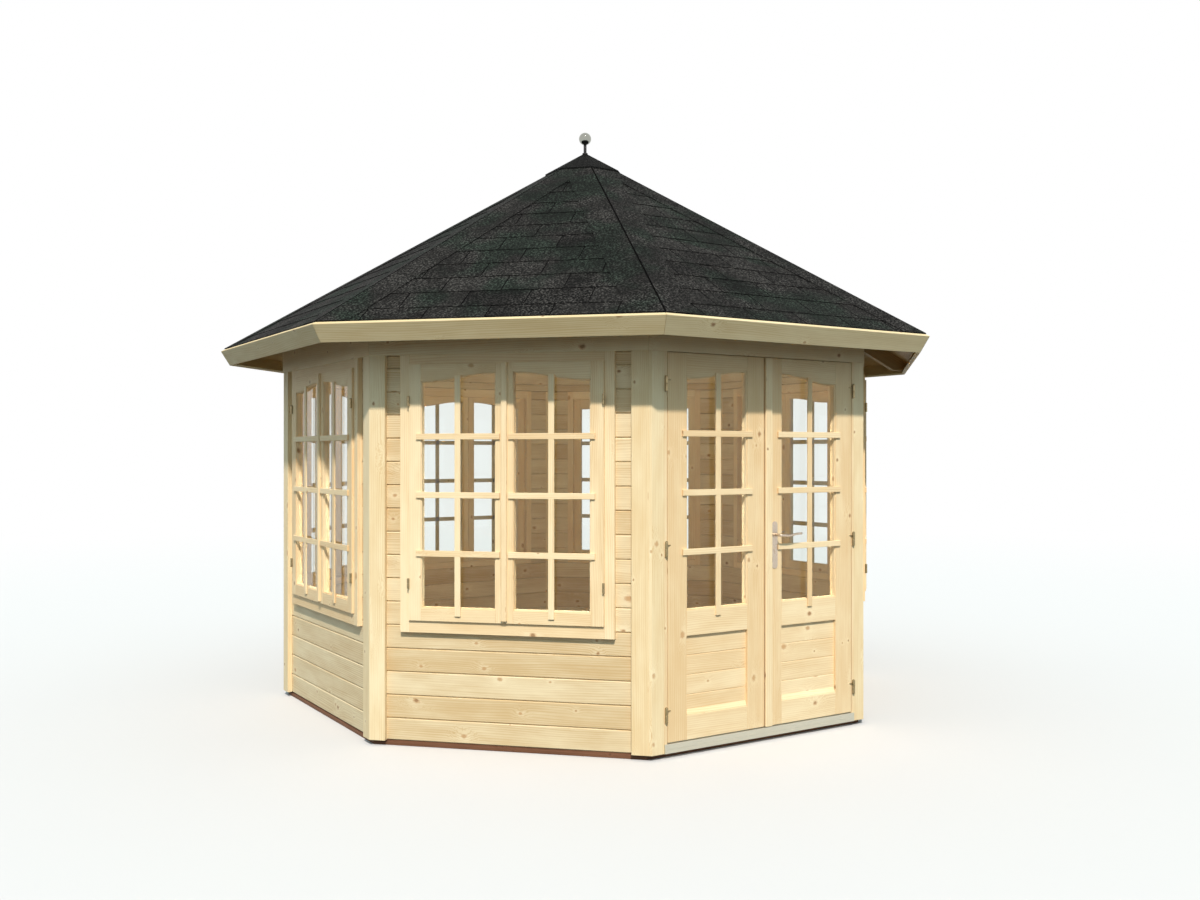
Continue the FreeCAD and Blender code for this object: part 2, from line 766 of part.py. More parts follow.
def write_leaves():
    frame = leaf_frame()
    panel = leaf_panel()
    glass = pane(leaf_light(), door_face)
    knuckles = leaf_hinges()
    write("right_leaf_frame", [frame.cut(spindle_hole())])
    write("right_leaf_panel", [panel.fuse(leaf_ledge()).removeSplitter()])
    write("right_leaf_glass", [glass])
    write("right_leaf_hinges", knuckles)
    write("right_leaf_astragal", [astragal()])
    write("left_leaf_frame", [mirrored(frame)])
    write("left_leaf_panel", [mirrored(panel.fuse(leaf_ledge()).removeSplitter())])
    write("left_leaf_glass", [mirrored(glass)])
    write("left_leaf_hinges", [mirrored(piece) for piece in knuckles])
    write("lock_plates", lock_plates())
    write("door_lever", [door_lever()])


def write_roof():
    write("upper_logs", upper_logs())
    write("eaves_band", eaves_band())
    write("hip_rafters", ring(rafter()))
    write("rafter_hub", [rafter_hub()])
    write("roof_boards", roof_layer(boards_top, boards_underside))
    write("roof_shingles", roof_layer(roof_apex, boards_top))
    write("fascia", fascia())
    write("roof_cap", [roof_cap()])
    write("finial", [finial()])


os.makedirs("parts", exist_ok=True)
write_base()
write_walls()
write_doorway()
write_leaves()
write_roof()
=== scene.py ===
# %% [markdown]
# # An eight-sided garden pavilion in spruce
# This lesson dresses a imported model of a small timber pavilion. The frame below holds the
# model's exact solids, and every size that matters is read from it, so the boards, shingles
# and fittings made here stay where the structure says. All lengths are in metres.

# %% Load the frame
import math
import random

import bmesh
import bpy
from mathutils import Matrix, Vector


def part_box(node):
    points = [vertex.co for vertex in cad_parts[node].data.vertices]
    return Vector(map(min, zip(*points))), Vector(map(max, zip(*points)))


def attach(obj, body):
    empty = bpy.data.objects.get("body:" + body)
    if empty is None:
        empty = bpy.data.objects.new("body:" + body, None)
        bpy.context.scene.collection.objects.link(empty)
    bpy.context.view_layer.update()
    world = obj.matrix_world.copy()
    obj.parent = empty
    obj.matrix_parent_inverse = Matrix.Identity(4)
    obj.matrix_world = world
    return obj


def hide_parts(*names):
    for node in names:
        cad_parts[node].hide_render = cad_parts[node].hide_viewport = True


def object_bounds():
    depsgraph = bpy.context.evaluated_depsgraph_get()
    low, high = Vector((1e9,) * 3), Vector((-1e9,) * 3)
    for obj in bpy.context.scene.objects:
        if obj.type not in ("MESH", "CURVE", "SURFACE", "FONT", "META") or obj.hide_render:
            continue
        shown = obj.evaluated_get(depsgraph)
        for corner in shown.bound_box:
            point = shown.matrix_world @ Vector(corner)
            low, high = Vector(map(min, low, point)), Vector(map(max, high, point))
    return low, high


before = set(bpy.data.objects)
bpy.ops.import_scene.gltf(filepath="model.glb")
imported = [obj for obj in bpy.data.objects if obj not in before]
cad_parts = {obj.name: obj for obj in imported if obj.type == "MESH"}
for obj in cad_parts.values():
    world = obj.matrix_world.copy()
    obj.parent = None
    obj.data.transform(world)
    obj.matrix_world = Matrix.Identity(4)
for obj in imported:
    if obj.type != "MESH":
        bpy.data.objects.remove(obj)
cad_low, cad_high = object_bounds()
print("the frame is", [round(v, 3) for v in cad_high - cad_low])

# %% [markdown]
# ## How the octagon is measured
# Eight equal walls stand round the middle. Each wall is made once, as the front wall that
# faces -Y, and then turned into its place. So a point on a wall is given by three numbers:
# u runs along the wall, out is the distance from the middle, and z is the height. The wall at
# the back faces +Y, square to the axes, so the box round its parts gives those sizes directly.

# %% Planes and edges of a wall
SIDES = 8
STEP = math.tau / SIDES
WINDOW_WALLS = ["front_left", "left", "back_left", "back", "back_right", "right", "front_right"]

log_low, log_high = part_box("back_log_wall")
LOG_BACK, LOG_FACE, LOG_END = log_low.y, log_high.y, log_high.x
WALL_FOOT, EAVES = log_low.z, log_high.z

casing_low, casing_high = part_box("back_window_frame")
POST_FACE, CASING_HALF, CASING_FOOT = casing_high.y, casing_high.x, casing_low.z

sash_low, sash_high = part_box("back_window_sashes")
SASH_BACK, SASH_EDGE = sash_low.y, sash_high.x
SASH_FOOT, SASH_TOP = sash_low.z, sash_high.z

CORNER = math.tan(STEP / 2)          # half a side, for each metre out
LOG_LAP = 0.028                      # the logs run this far behind a post's leg
LEG_EDGE = LOG_END - LOG_LAP
print("post face", round(POST_FACE, 3), "leg edge", round(LEG_EDGE, 3), "eaves", round(EAVES, 3))

# %% [markdown]
# ## Boards as separate closed shapes
# A joiner cuts each board, so each board here is its own closed shape inside a larger mesh.
# The mesh starts from cubes and short outlines, which bmesh operators extrude, saw and bevel.
# Three layers go with it: a UV map in metres whose first axis follows the grain, a number
# that gives each board its own tone, and a mark on faces that cut across the grain.

# %% Cubes, outlines and the saw
draw = random.Random(20)


def layered(bm):
    """The mesh, with the layers that the materials read."""
    bm.loops.layers.uv.new("grain")
    bm.faces.layers.float.new("board_tone")
    bm.faces.layers.float.new("cut_edge")
    return bm


def fresh():
    """An empty mesh with its layers."""
    return layered(bmesh.new())


def faces_of(verts):
    """The faces at these vertices, in a steady order."""
    return list(dict.fromkeys(face for vert in verts for face in vert.link_faces))


def block(bm, u, out, z):
    """A box between two places along the wall, out from the middle, and up."""
    size = Vector((abs(u[1] - u[0]), out[1] - out[0], z[1] - z[0]))
    middle = Vector((u[0] + u[1], -out[0] - out[1], z[0] + z[1])) / 2
    place = Matrix.Translation(middle) @ Matrix.Diagonal((*size, 1.0))
    return bmesh.ops.create_cube(bm, size=1.0, matrix=place)["verts"]


def extruded(bm, points, run):
    """A bar with this outline, drawn out along a vector."""
    outline = bm.faces.new([bm.verts.new(point) for point in points])
    made = bmesh.ops.extrude_face_region(bm, geom=[outline])["geom"]
    ends = [item for item in made if isinstance(item, bmesh.types.BMVert)]
    bmesh.ops.translate(bm, verts=ends, vec=run)
    return list(outline.verts) + ends


def saw(bm, point, normal, verts=None):
    """Saws through the boards, closes the cuts, and drops what lies beyond the plane."""
    verts = bm.verts[:] if verts is None else verts
    geom = list(verts) + list(dict.fromkeys(e for v in verts for e in v.link_edges))
    geom += faces_of(verts)
    made = bmesh.ops.bisect_plane(bm, geom=geom, dist=1e-6, plane_co=point, plane_no=normal,
                                  clear_outer=True)
    rim = [item for item in made["geom_cut"] if isinstance(item, bmesh.types.BMEdge)]
    bmesh.ops.holes_fill(bm, edges=rim, sides=0)


def mitre(bm, gap=0.0006):
    """Saws both ends of a ring's side to the half angle, less half a gap."""
    for side in (-1, 1):
        normal = Vector((side * math.cos(STEP / 2), math.sin(STEP / 2), 0))
        saw(bm, normal * (-gap / 2), normal)


def bevelled(bm, verts, chosen, width, segments=1):
    """Bevels the chosen edges of a board."""
    edges = list(dict.fromkeys(e for v in verts for e in v.link_edges if chosen(e)))
    bmesh.ops.bevel(bm, geom=edges, offset=width, offset_type="OFFSET", segments=segments,
                    profile=0.5, affect="EDGES", material=-1, clamp_overlap=True)


def runs_along(axis):
    """A test for edges that run along an axis, 0 for u, 1 for out and 2 for z."""
    return lambda e: abs((e.verts[1].co - e.verts[0].co).normalized()[axis]) > 0.999


def turned(bm, wall):
    """Turns a front wall's mesh round to another wall."""
    matrix = Matrix.Rotation(-STEP * wall, 3, "Z")
    bmesh.ops.rotate(bm, verts=bm.verts, cent=(0, 0, 0), matrix=matrix)


# %% [markdown]
# ## Grain that follows each board
# The grain of a board runs the long way. So the boards are found as separate islands of
# faces, the long side of each is taken as its grain, and its UV map starts at a place of its
# own, as if every board came from another tree. The boards of one mesh thus never repeat.

# %% Lay the grain
AXES = (Vector((1, 0, 0)), Vector((0, 1, 0)), Vector((0, 0, 1)))


def islands(bm):
    """The separate boards of a mesh, each as a list of faces."""
    found, seen = [], set()
    for start in bm.faces:
        if start in seen:
            continue
        seen.add(start)
        board, edge_of_search = [start], [start]
        while edge_of_search:
            face = edge_of_search.pop()
            for edge in face.edges:
                for other in edge.link_faces:
                    if other not in seen:
                        seen.add(other)
                        board.append(other)
                        edge_of_search.append(other)
        found.append(board)
    return found


def long_side(board):
    """The axis along which a board is longest."""
    points = [vert.co for face in board for vert in face.verts]
    spans = [max(p[i] for p in points) - min(p[i] for p in points) for i in range(3)]
    return AXES[spans.index(max(spans))]


def middle_of(board):
    """The middle of a board's faces."""
    return sum((face.calc_center_median() for face in board), Vector()) / len(board)


def lay_grain(bm, along=None):
    """Maps each board in metres; along is a vector, or a rule from the board's middle."""
    bmesh.ops.recalc_face_normals(bm, faces=bm.faces)
    uv = bm.loops.layers.uv["grain"]
    tone = bm.faces.layers.float["board_tone"]
    cut_edge = bm.faces.layers.float["cut_edge"]
    for board in islands(bm):
        start = Vector((draw.uniform(0, 60), draw.uniform(0, 60)))
        shade = draw.random()
        grain = long_side(board) if along is None else along
        if callable(grain):
            grain = grain(middle_of(board))
        for face in board:
            across = face.normal.cross(grain)
            face[tone] = shade
            face[cut_edge] = float(across.length < 0.4)
            first = grain if across.length >= 0.4 else face.normal.orthogonal().normalized()
            second = face.normal.cross(first).normalized()
            for loop in face.loops:
                point = loop.vert.co
                loop[uv].uv = start + Vector((point.dot(first), point.dot(second)))


def round_the_ring(middle):
    """Grain that runs along the side of a ring."""
    turn = round(math.atan2(middle.x, -middle.y) / STEP) * STEP
    return Vector((math.cos(turn), math.sin(turn), 0))


def gathered(parts):
    """Many small meshes as one."""
    whole = fresh()
    for part in parts:
        spare = bpy.data.meshes.new("part")
        part.to_mesh(spare)
        part.free()
        whole.from_mesh(spare)
        bpy.data.meshes.remove(spare)
    return whole


def side_of(make, wall):
    """What a function makes for the front wall, turned to another wall."""
    bm = fresh()
    make(bm)
    turned(bm, wall)
    return bm


def all_round(make):
    """What a function makes for the front wall, on all eight sides."""
    return gathered([side_of(make, wall) for wall in range(SIDES)])


# %% [markdown]
# ## From mesh to piece
# A finished mesh becomes an object at the origin. It rides on the body that carries it and
# stands for the plain solid it replaces. A Bevel modifier then eases the arrises, because a
# planed board never ends in a knife edge, and that small round is what catches the light.

# %% Finish a piece
def put_in_scene(name, data):
    """A new object in the scene."""
    made = bpy.data.objects.new(name, data)
    bpy.context.scene.collection.objects.link(made)
    return made


def piece(name, bm, material, nodes=(), body="root", ease=0.0015, angle=50, smooth=False):
    """Turns a mesh into a piece that rides on a body."""
    bmesh.ops.recalc_face_normals(bm, faces=bm.faces)
    mesh = bpy.data.meshes.new(name)
    bm.to_mesh(mesh)
    bm.free()
    mesh.materials.append(material)
    made = put_in_scene(name, mesh)
    if smooth:
        mesh.shade_smooth()
    if ease:
        bevel = made.modifiers.new("Eased arrises", "BEVEL")
        bevel.width, bevel.segments = ease, 2
        bevel.limit_method, bevel.angle_limit = "ANGLE", math.radians(angle)
    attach(made, body)
    if nodes:
        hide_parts(*nodes)
    print(name, len(mesh.polygons), "faces on", body)
    return made


def from_frame(*nodes):
    """A clean copy of plain solids, with the triangles of each flat side joined again."""
    bm = bmesh.new()
    for node in nodes:
        bm.from_mesh(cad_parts[node].data)
    bmesh.ops.remove_doubles(bm, verts=bm.verts, dist=1e-5)
    bmesh.ops.dissolve_limit(bm, angle_limit=math.radians(2), verts=bm.verts, edges=bm.edges)
    for layer in list(bm.loops.layers.uv.values()):
        bm.loops.layers.uv.remove(layer)
    return layered(bm)


def plain_piece(name, material, nodes, grain=None, ease=0.0015):
    """A piece whose solids are right as they are, and only need their grain."""
    bm = from_frame(*nodes)
    lay_grain(bm, grain)
    piece(name, bm, material, nodes, ease=ease)


# %% [markdown]
# ## Node helpers
# Materials are trees of nodes. Two small helpers keep them readable: one adds a node and
# fills its sockets with values or links, the other turns a colour as a painter would mix it
# on a screen, 0 to 255, into the linear numbers that the shader wants.

# %% Helpers for materials
def screen(red, green, blue):
    """A screen colour as linear numbers."""
    linear = [((c / 255 + 0.055) / 1.055) ** 2.4 if c > 10 else c / 255 / 12.92
              for c in (red, green, blue)]
    return (*linear, 1.0)


def add(tree, kind, inputs=None, **options):
    """Adds a node, sets its options, and fills its sockets with values or links."""
    made = tree.nodes.new("ShaderNode" + kind)
    for option, value in options.items():
        setattr(made, option, value)
    for socket, value in (inputs or {}).items():
        if isinstance(value, bpy.types.NodeSocket):
            tree.links.new(value, made.inputs[socket])
        else:
            made.inputs[socket].default_value = value
    return made


def maths(tree, operation, *values):
    """The result of one Math node."""
    return add(tree, "Math", dict(enumerate(values)), operation=operation).outputs[0]


def stretch(tree, vector, factors):
    """A vector with each part multiplied by its own factor."""
    return add(tree, "VectorMath", {0: vector, 1: factors}, operation="MULTIPLY").outputs[0]


def between(tree, value, low, high, to_low=0.0, to_high=1.0):
    """The value's place from low to high, smoothed and clamped."""
    inputs = {"Value": value, "From Min": low, "From Max": high,
              "To Min": to_low, "To Max": to_high}
    return add(tree, "MapRange", inputs, interpolation_type="SMOOTHSTEP").outputs[0]


def noise(tree, vector, scale, detail=2.0):
    """The value of a noise texture over a vector."""
    inputs = {"Vector": vector, "Scale": scale, "Detail": detail}
    return add(tree, "TexNoise", inputs).outputs["Fac"]


def blended(tree, factor, first, second, way="MIX"):
    """Two colours mixed by a factor."""
    made = add(tree, "Mix", {0: factor, 6: first, 7: second}, data_type="RGBA", blend_type=way)
    return made.outputs[2]


def group(name, takes, gives):
    """An empty node group with named sockets, and its input and output nodes."""
    tree = bpy.data.node_groups.new(name, "ShaderNodeTree")
    for socket, kind in takes.items():
        tree.interface.new_socket(socket, in_out="INPUT", socket_type="NodeSocket" + kind)
    for socket, kind in gives.items():
        tree.interface.new_socket(socket, in_out="OUTPUT", socket_type="NodeSocket" + kind)
    return tree, tree.nodes.new("NodeGroupInput").outputs, tree.nodes.new("NodeGroupOutput").inputs


def material(name):
    """A new material, its tree and its Principled shader."""
    made = bpy.data.materials.new(name)
    made.use_nodes = True
    return made, made.node_tree, made.node_tree.nodes["Principled BSDF"]


def board_marks(tree):
    """The sockets that give a board's tone and its cut faces."""
    names = {"Tone": "board_tone", "Cut": "cut_edge"}
    return {socket: add(tree, "Attribute", attribute_name=layer).outputs["Fac"]
            for socket, layer in names.items()}


def finish_from(figure, tree, shader, inputs, bump, depth):
    """Feeds a shader from a group's roughness, height and, if it has one, colour."""
    gives = add(tree, "Group", inputs, node_tree=figure).outputs
    bumped = add(tree, "Bump", {"Strength": bump, "Distance": depth, "Height": gives["Height"]})
    tree.links.new(bumped.outputs["Normal"], shader.inputs["Normal"])
    tree.links.new(gives["Roughness"], shader.inputs["Roughness"])
    if "Color" in gives:
        tree.links.new(gives["Color"], shader.inputs["Base Color"])


def is_seen(tree):
    """1 for rays from the camera, off metal and through glass, and 0 for all others."""
    path = add(tree, "LightPath").outputs
    seen = maths(tree, "MAXIMUM", path["Is Camera Ray"], path["Is Glossy Ray"])
    return maths(tree, "MAXIMUM", seen, path["Is Transmission Ray"])


# %% [markdown]
# ## Planed softwood
# Spruce is pale, with thin darker lines of late wood, soft clouds of colour and a knot every
# half metre or so. The figure could be painted, but a picture would repeat on hundreds of
# boards. Here it is worked out from the grain map: stretched noise makes the fibres, a sine
# of the distance across makes the rings, and the cells of a Voronoi texture hold the knots.
# The distance to the middle of a cell is taken in metres, so that knots stay round.

# %% The softwood group
RINGS_A_METRE = 95.0
KNOT_CELL = (0.30, 0.085, 1.0)
KNOT_SMALL, KNOT_SPREAD = 0.005, 0.013      # the smallest radius, and how much more some have
KNOT_LONG = 0.75                             # knots are a little longer along the grain


def softwood_group():
    """Colour, roughness and height of planed softwood."""
    tree, given, out = group(
        "planed_softwood",
        {"Grain": "Vector", "Tone": "Float", "Cut": "Float", "Pale": "Color", "Deep": "Color",
         "Knot": "Color"},
        {"Color": "Color", "Roughness": "Float", "Height": "Float"})
    grain = given["Grain"]
    cells_at = stretch(tree, grain, tuple(1 / side for side in KNOT_CELL))
    cells = add(tree, "TexVoronoi", {"Vector": cells_at, "Scale": 1.0}, voronoi_dimensions="2D")
    away = add(tree, "VectorMath", {0: cells_at, 1: cells.outputs["Position"]},
               operation="SUBTRACT").outputs[0]
    away = stretch(tree, away, (KNOT_CELL[0] * KNOT_LONG, KNOT_CELL[1], 0.0))
    distance = add(tree, "VectorMath", {0: away}, operation="LENGTH").outputs["Value"]
    chance, form, _ = add(tree, "SeparateColor", {0: cells.outputs["Color"]}).outputs
    there = maths(tree, "GREATER_THAN", chance, 0.58)
    radius = between(tree, chance, 0.6, 1.15, KNOT_SMALL, KNOT_SMALL + KNOT_SPREAD)
    radius = maths(tree, "MULTIPLY", radius, there)
    uneven = noise(tree, grain, 70.0, 2.0)
    ratio = maths(tree, "DIVIDE", distance, maths(tree, "MAXIMUM", radius, 0.0002))
    ratio = maths(tree, "MULTIPLY", ratio, maths(tree, "MULTIPLY_ADD", uneven, 1.1, 0.45))
    knot = between(tree, ratio, 1.3, 0.4)
    core = maths(tree, "MULTIPLY", between(tree, ratio, 0.75, 0.3), between(tree, form, 0.4, 0.9))
    halo = between(tree, ratio, 3.4, 1.2)
    swirl = maths(tree, "MULTIPLY", between(tree, ratio, 6.0, 0.0), radius)

    def figure(along, over, detail):
        """Noise with so many turns in a metre along the grain and over it."""
        return noise(tree, stretch(tree, grain, (along, over, 0.0)), 1.0, detail)

    across = add(tree, "SeparateXYZ", {0: grain}).outputs[1]
    sway = figure(0.9, 4.0, 1.0)
    drift = figure(0.6, 25.0, 2.0)
    place = maths(tree, "MULTIPLY_ADD", sway, 0.075, across)
    place = maths(tree, "MULTIPLY_ADD", drift, 0.02, place)
    place = maths(tree, "MULTIPLY_ADD", swirl, 2.2, place)
    wave = maths(tree, "SINE", maths(tree, "MULTIPLY", place, math.tau * RINGS_A_METRE))
    cloud = figure(1.1, 7.0, 3.0)
    late_wood = maths(tree, "MULTIPLY", between(tree, wave, -0.2, 1.0),
                      between(tree, cloud, 0.35, 0.7, 0.25, 1.0))
    mottle = figure(5.0, 17.0, 4.0)
    streak = figure(1.5, 110.0, 2.0)
    fibre = figure(9.0, 620.0, 2.0)

    depth = maths(tree, "MULTIPLY", late_wood, 0.24)
    for share, part in ((0.16, fibre), (0.30, cloud), (0.42, mottle), (0.22, streak),
                        (0.24, given["Tone"]), (0.35, given["Cut"]), (-0.10, halo)):
        depth = maths(tree, "MULTIPLY_ADD", part, share, depth)
    depth = between(tree, depth, 0.34, 1.04)
    wood = blended(tree, depth, given["Pale"], given["Deep"])
    wood = blended(tree, maths(tree, "MULTIPLY", knot, 0.70), wood, given["Knot"])
    dark = blended(tree, maths(tree, "MULTIPLY", core, 0.5), wood, screen(96, 58, 32))
    tree.links.new(dark, out["Color"])

    rough = maths(tree, "MULTIPLY_ADD", fibre, 0.16, 0.50)
    rough = maths(tree, "MULTIPLY_ADD", knot, -0.12, rough)
    tree.links.new(rough, out["Roughness"])
    height = maths(tree, "MULTIPLY_ADD", late_wood, 0.35, maths(tree, "MULTIPLY", fibre, 0.65))
    tree.links.new(maths(tree, "MULTIPLY_ADD", knot, 0.5, height), out["Height"])
    return tree


SOFTWOOD = softwood_group()
TIMBER_GLOSS, GRAIN_DEPTH = 0.32, 0.0006


def timber(name, pale, deep, knot, gloss=TIMBER_GLOSS, bump=0.35):
    """A timber finish from the softwood group, with its own colours."""
    made, tree, shader = material(name)
    inputs = {"Grain": add(tree, "UVMap", uv_map="grain").outputs["UV"], **board_marks(tree),
              "Pale": screen(*pale), "Deep": screen(*deep), "Knot": screen(*knot)}
    finish_from(SOFTWOOD, tree, shader, inputs, bump, GRAIN_DEPTH)
    shader.inputs["Specular IOR Level"].default_value = gloss
    return made


LOG_TIMBER = timber("spruce logs", (238, 219, 184), (204, 172, 126), (184, 132, 82))
POST_TIMBER = timber("spruce posts", (250, 232, 196), (228, 197, 150), (192, 142, 92))
JOINERY = timber("spruce joinery", (250, 228, 190), (228, 193, 146), (192, 140, 90))
# roof boards, rafters and hub are the same spruce as the logs, given darker colours as painted
# shade for the dim underside of the roof
ROOF_TIMBER_PAINTED_SHADE = timber("roof boards", (208, 180, 132), (176, 138, 90), (124, 82, 48))
FASCIA_TIMBER = timber("fascia spruce", (230, 212, 174), (204, 177, 131), (160, 116, 74))
FLOOR_TIMBER = timber("floor spruce", (236, 206, 152), (208, 168, 110), (150, 100, 58))
TREATED = timber("treated beams", (134, 92, 68), (98, 64, 46), (58, 36, 26), gloss=0.2)
print("timber finishes:", len(bpy.data.materials))

# %% [markdown]
# ## Bitumen felt with mineral granules
# Shingles are black felt pressed full of crushed slate. From a few metres away the eye sees
# charcoal with a fine salt of lighter grains, and each tab a little lighter or darker than
# its neighbour, and here and there a green cast. Two noises of different sizes give the
# grains, slower ones the patches and the green, the tab's own number its tone, and the cut
# edges, which carry no slate, are left near black.

# %% The granule group and the two felts
def granule_group():
    """Colour, roughness and height of slate granules on felt."""
    tree, given, out = group(
        "slate_granules",
        {"Place": "Vector", "Tone": "Float", "Cut": "Float", "Dark": "Color", "Light": "Color",
         "Moss": "Color"},
        {"Color": "Color", "Roughness": "Float", "Height": "Float"})
    grains = noise(tree, given["Place"], 420.0, 2.0)
    flecks = noise(tree, given["Place"], 105.0, 1.5)
    patches = noise(tree, given["Place"], 5.0, 4.0)
    moss = noise(tree, given["Place"], 3.1, 2.0)
    speck = maths(tree, "MULTIPLY_ADD", flecks, 0.8, maths(tree, "MULTIPLY", grains, 0.2))
    speck = between(tree, speck, 0.46, 0.66)
    speck = maths(tree, "MULTIPLY", speck, between(tree, patches, 0.32, 0.66, 0.35, 1.0))
    lift = maths(tree, "MULTIPLY_ADD", given["Tone"], 0.10, maths(tree, "MULTIPLY", speck, 0.9))
    slate = blended(tree, between(tree, moss, 0.45, 0.62), given["Light"], given["Moss"])
    felt = blended(tree, lift, given["Dark"], slate)
    felt = blended(tree, given["Cut"], felt, screen(14, 14, 15))
    tree.links.new(felt, out["Color"])
    tree.links.new(maths(tree, "MULTIPLY_ADD", speck, -0.12, 0.92), out["Roughness"])
    tree.links.new(grains, out["Height"])
    return tree


GRANULES = granule_group()
FELT_GLOSS, GRANULE_DEPTH = 0.08, 0.001


def felt(name, dark, light, moss):
    """A felt finish from the granule group, with its own colours."""
    made, tree, shader = material(name)
    inputs = {"Place": add(tree, "TexCoord").outputs["Object"], **board_marks(tree),
              "Dark": screen(*dark), "Light": screen(*light), "Moss": screen(*moss)}
    finish_from(GRANULES, tree, shader, inputs, 0.6, GRANULE_DEPTH)
    shader.inputs["Specular IOR Level"].default_value = FELT_GLOSS
    return made


SHINGLE_FELT = felt("slated shingle felt", (5, 5, 5), (78, 75, 73), (58, 68, 60))
CAP_FELT = felt("cap felt", (7, 7, 7), (34, 34, 33), (30, 33, 29))
UNDERLAY_FELT = felt("black underlay felt", (8, 8, 8), (20, 20, 19), (16, 18, 16))

# %% [markdown]
# ## Metals and glass
# Fittings are zinc, satin nickel, mill aluminium and polished steel. One small group gives
# them fine drawn lines and patches of handling, and each finish sets its own colour, metal
# and roughness range. Glass lets lamp rays straight through with a Transparent shader, so
# that sunlight reaches the room, and everything else goes through the real glass shader.

# %% The drawn metal group, the metals and the glass
def drawn_group():
    """Roughness and height of drawn or brushed metal."""
    tree, given, out = group(
        "drawn_metal",
        {"Place": "Vector", "Smooth": "Float", "Rough": "Float"},
        {"Roughness": "Float", "Height": "Float"})
    lines = noise(tree, stretch(tree, given["Place"], (300.0, 300.0, 12.0)), 1.0, 2.0)
    handling = noise(tree, given["Place"], 40.0, 2.0)
    both = maths(tree, "MULTIPLY_ADD", handling, 0.5, maths(tree, "MULTIPLY", lines, 0.5))
    spread = add(tree, "MapRange", {"Value": both, "From Min": 0.3, "From Max": 0.7,
                                    "To Min": given["Smooth"], "To Max": given["Rough"]})
    tree.links.new(spread.outputs[0], out["Roughness"])
    tree.links.new(lines, out["Height"])
    return tree


DRAWN = drawn_group()
LINE_DEPTH = 0.0003


def metal(name, colour, smooth, rough, bump=0.1):
    """A metal finish with drawn lines."""
    made, tree, shader = material(name)
    inputs = {"Place": add(tree, "TexCoord").outputs["Object"], "Smooth": smooth, "Rough": rough}
    finish_from(DRAWN, tree, shader, inputs, bump, LINE_DEPTH)
    shader.inputs["Base Color"].default_value = screen(*colour)
    shader.inputs["Metallic"].default_value = 1.0
    return made


HINGE_METAL = metal("zinc plated steel", (152, 138, 106), 0.28, 0.46)
HANDLE_METAL = metal("satin nickel", (206, 190, 172), 0.22, 0.36)
THRESHOLD_METAL = metal("mill aluminium", (208, 207, 192), 0.34, 0.5)
BALL_STEEL = metal("polished steel", (166, 167, 158), 0.04, 0.09, bump=0.02)
# the stem is given a near-black metal colour, much darker than the polished ball above it
STEM_DARKENED_METAL = metal("darkened stem metal", (52, 52, 52), 0.3, 0.45)


def window_glass():
    """Clear glass, with a clear way through for rays from lamps."""
    made, tree, shader = material("clear glass")
    shader.inputs["Base Color"].default_value = screen(246, 249, 247)
    shader.inputs["Roughness"].default_value = 0.0
    shader.inputs["IOR"].default_value = 1.33
    shader.inputs["Transmission Weight"].default_value = 1.0
    clear = add(tree, "BsdfTransparent", {"Color": (0.96, 0.97, 0.96, 1)})
    lamp_ray = add(tree, "LightPath").outputs["Is Shadow Ray"]
    mix = add(tree, "MixShader", {0: lamp_ray, 1: shader.outputs[0], 2: clear.outputs[0]})
    surface = tree.nodes["Material Output"].inputs["Surface"]
    tree.links.new(mix.outputs[0], surface)
    return made


GLASS = window_glass()
for glazed in ("window_glass", "left_leaf_glass", "right_leaf_glass"):
    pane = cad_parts[glazed]
    pane.data.materials.clear()
    pane.data.materials.append(GLASS)
print("glass laid on the panes")

# %% [markdown]
# ## Base and floor
# Treated beams lie on the ground under the walls with bearers between them, and the floor is
# laid over both. A beam has a small rebate under the lowest log, which throws a dark line, so
# its end is drawn as an outline, extruded along the wall and sawn to the corners. The floor
# is made of tongued boards with a small groove at each joint: boards are set side by side
# across the whole octagon, and the saw then takes off its eight sides.

# %% Base and floor
FLOOR_BOARD = 0.115
FLOOR_GROOVE = 0.002

BEAM_WIDTH = 0.070
REBATE_DEEP, REBATE_HIGH = 0.006, 0.009


def base_beam(bm):
    """One beam, with a rebate along its top outer edge."""
    inner, step = LOG_FACE - BEAM_WIDTH, LOG_FACE - REBATE_DEEP
    profile = [(inner, 0), (LOG_FACE, 0), (LOG_FACE, WALL_FOOT - REBATE_HIGH),
               (step, WALL_FOOT - REBATE_HIGH), (step, WALL_FOOT), (inner, WALL_FOOT)]
    half = LOG_FACE * CORNER + 0.01
    extruded(bm, [(-half, -out, z) for out, z in profile], (2 * half, 0, 0))
    mitre(bm)
    lay_grain(bm, AXES[0])


piece("base_beams", all_round(base_beam), TREATED, ["foundation_frame"],
      ease=0.001)
plain_piece("base_bearers", TREATED, ["floor_joists"], ease=0.002)

floor_low, floor_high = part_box("floor_boards")
floor = fresh()
rows = round((floor_high.x - floor_low.x) / FLOOR_BOARD)
for row in range(rows):
    left = floor_low.x + (floor_high.x - floor_low.x) * row / rows
    right = floor_low.x + (floor_high.x - floor_low.x) * (row + 1) / rows
    plank = block(floor, (left + 0.0003, right - 0.0003), (floor_low.y, floor_high.y),
                  (floor_low.z, floor_high.z))
    bevelled(floor, plank, runs_along(1), FLOOR_GROOVE)
for wall in range(SIDES):
    turn = Matrix.Rotation(-STEP * wall, 3, "Z")
    normal = turn @ Vector((0, -1, 0))
    saw(floor, normal * floor_high.y, normal)
lay_grain(floor, AXES[1])
piece("floor_planks", floor, FLOOR_TIMBER, ["floor_boards"], ease=0)

# %% [markdown]
# ## Logs
# The walls are stacks of 44 mm logs, 114 mm high, locked by a tongue. Each log has its long
# edges chamfered, so that two logs meet in a V, and that thin line of shade is what makes the
# wall read as logs. A tongue down the middle of the stack closes the joint between them.

# %% The logs of a window wall
COURSE = 0.114
FIRST_SEAM = 0.1325
SEAM = 0.0016
LOG_CHAMFER = 0.0045
TONGUE = 0.012
CASING_LAP = 0.020
LINING_HALF = CASING_HALF - CASING_LAP


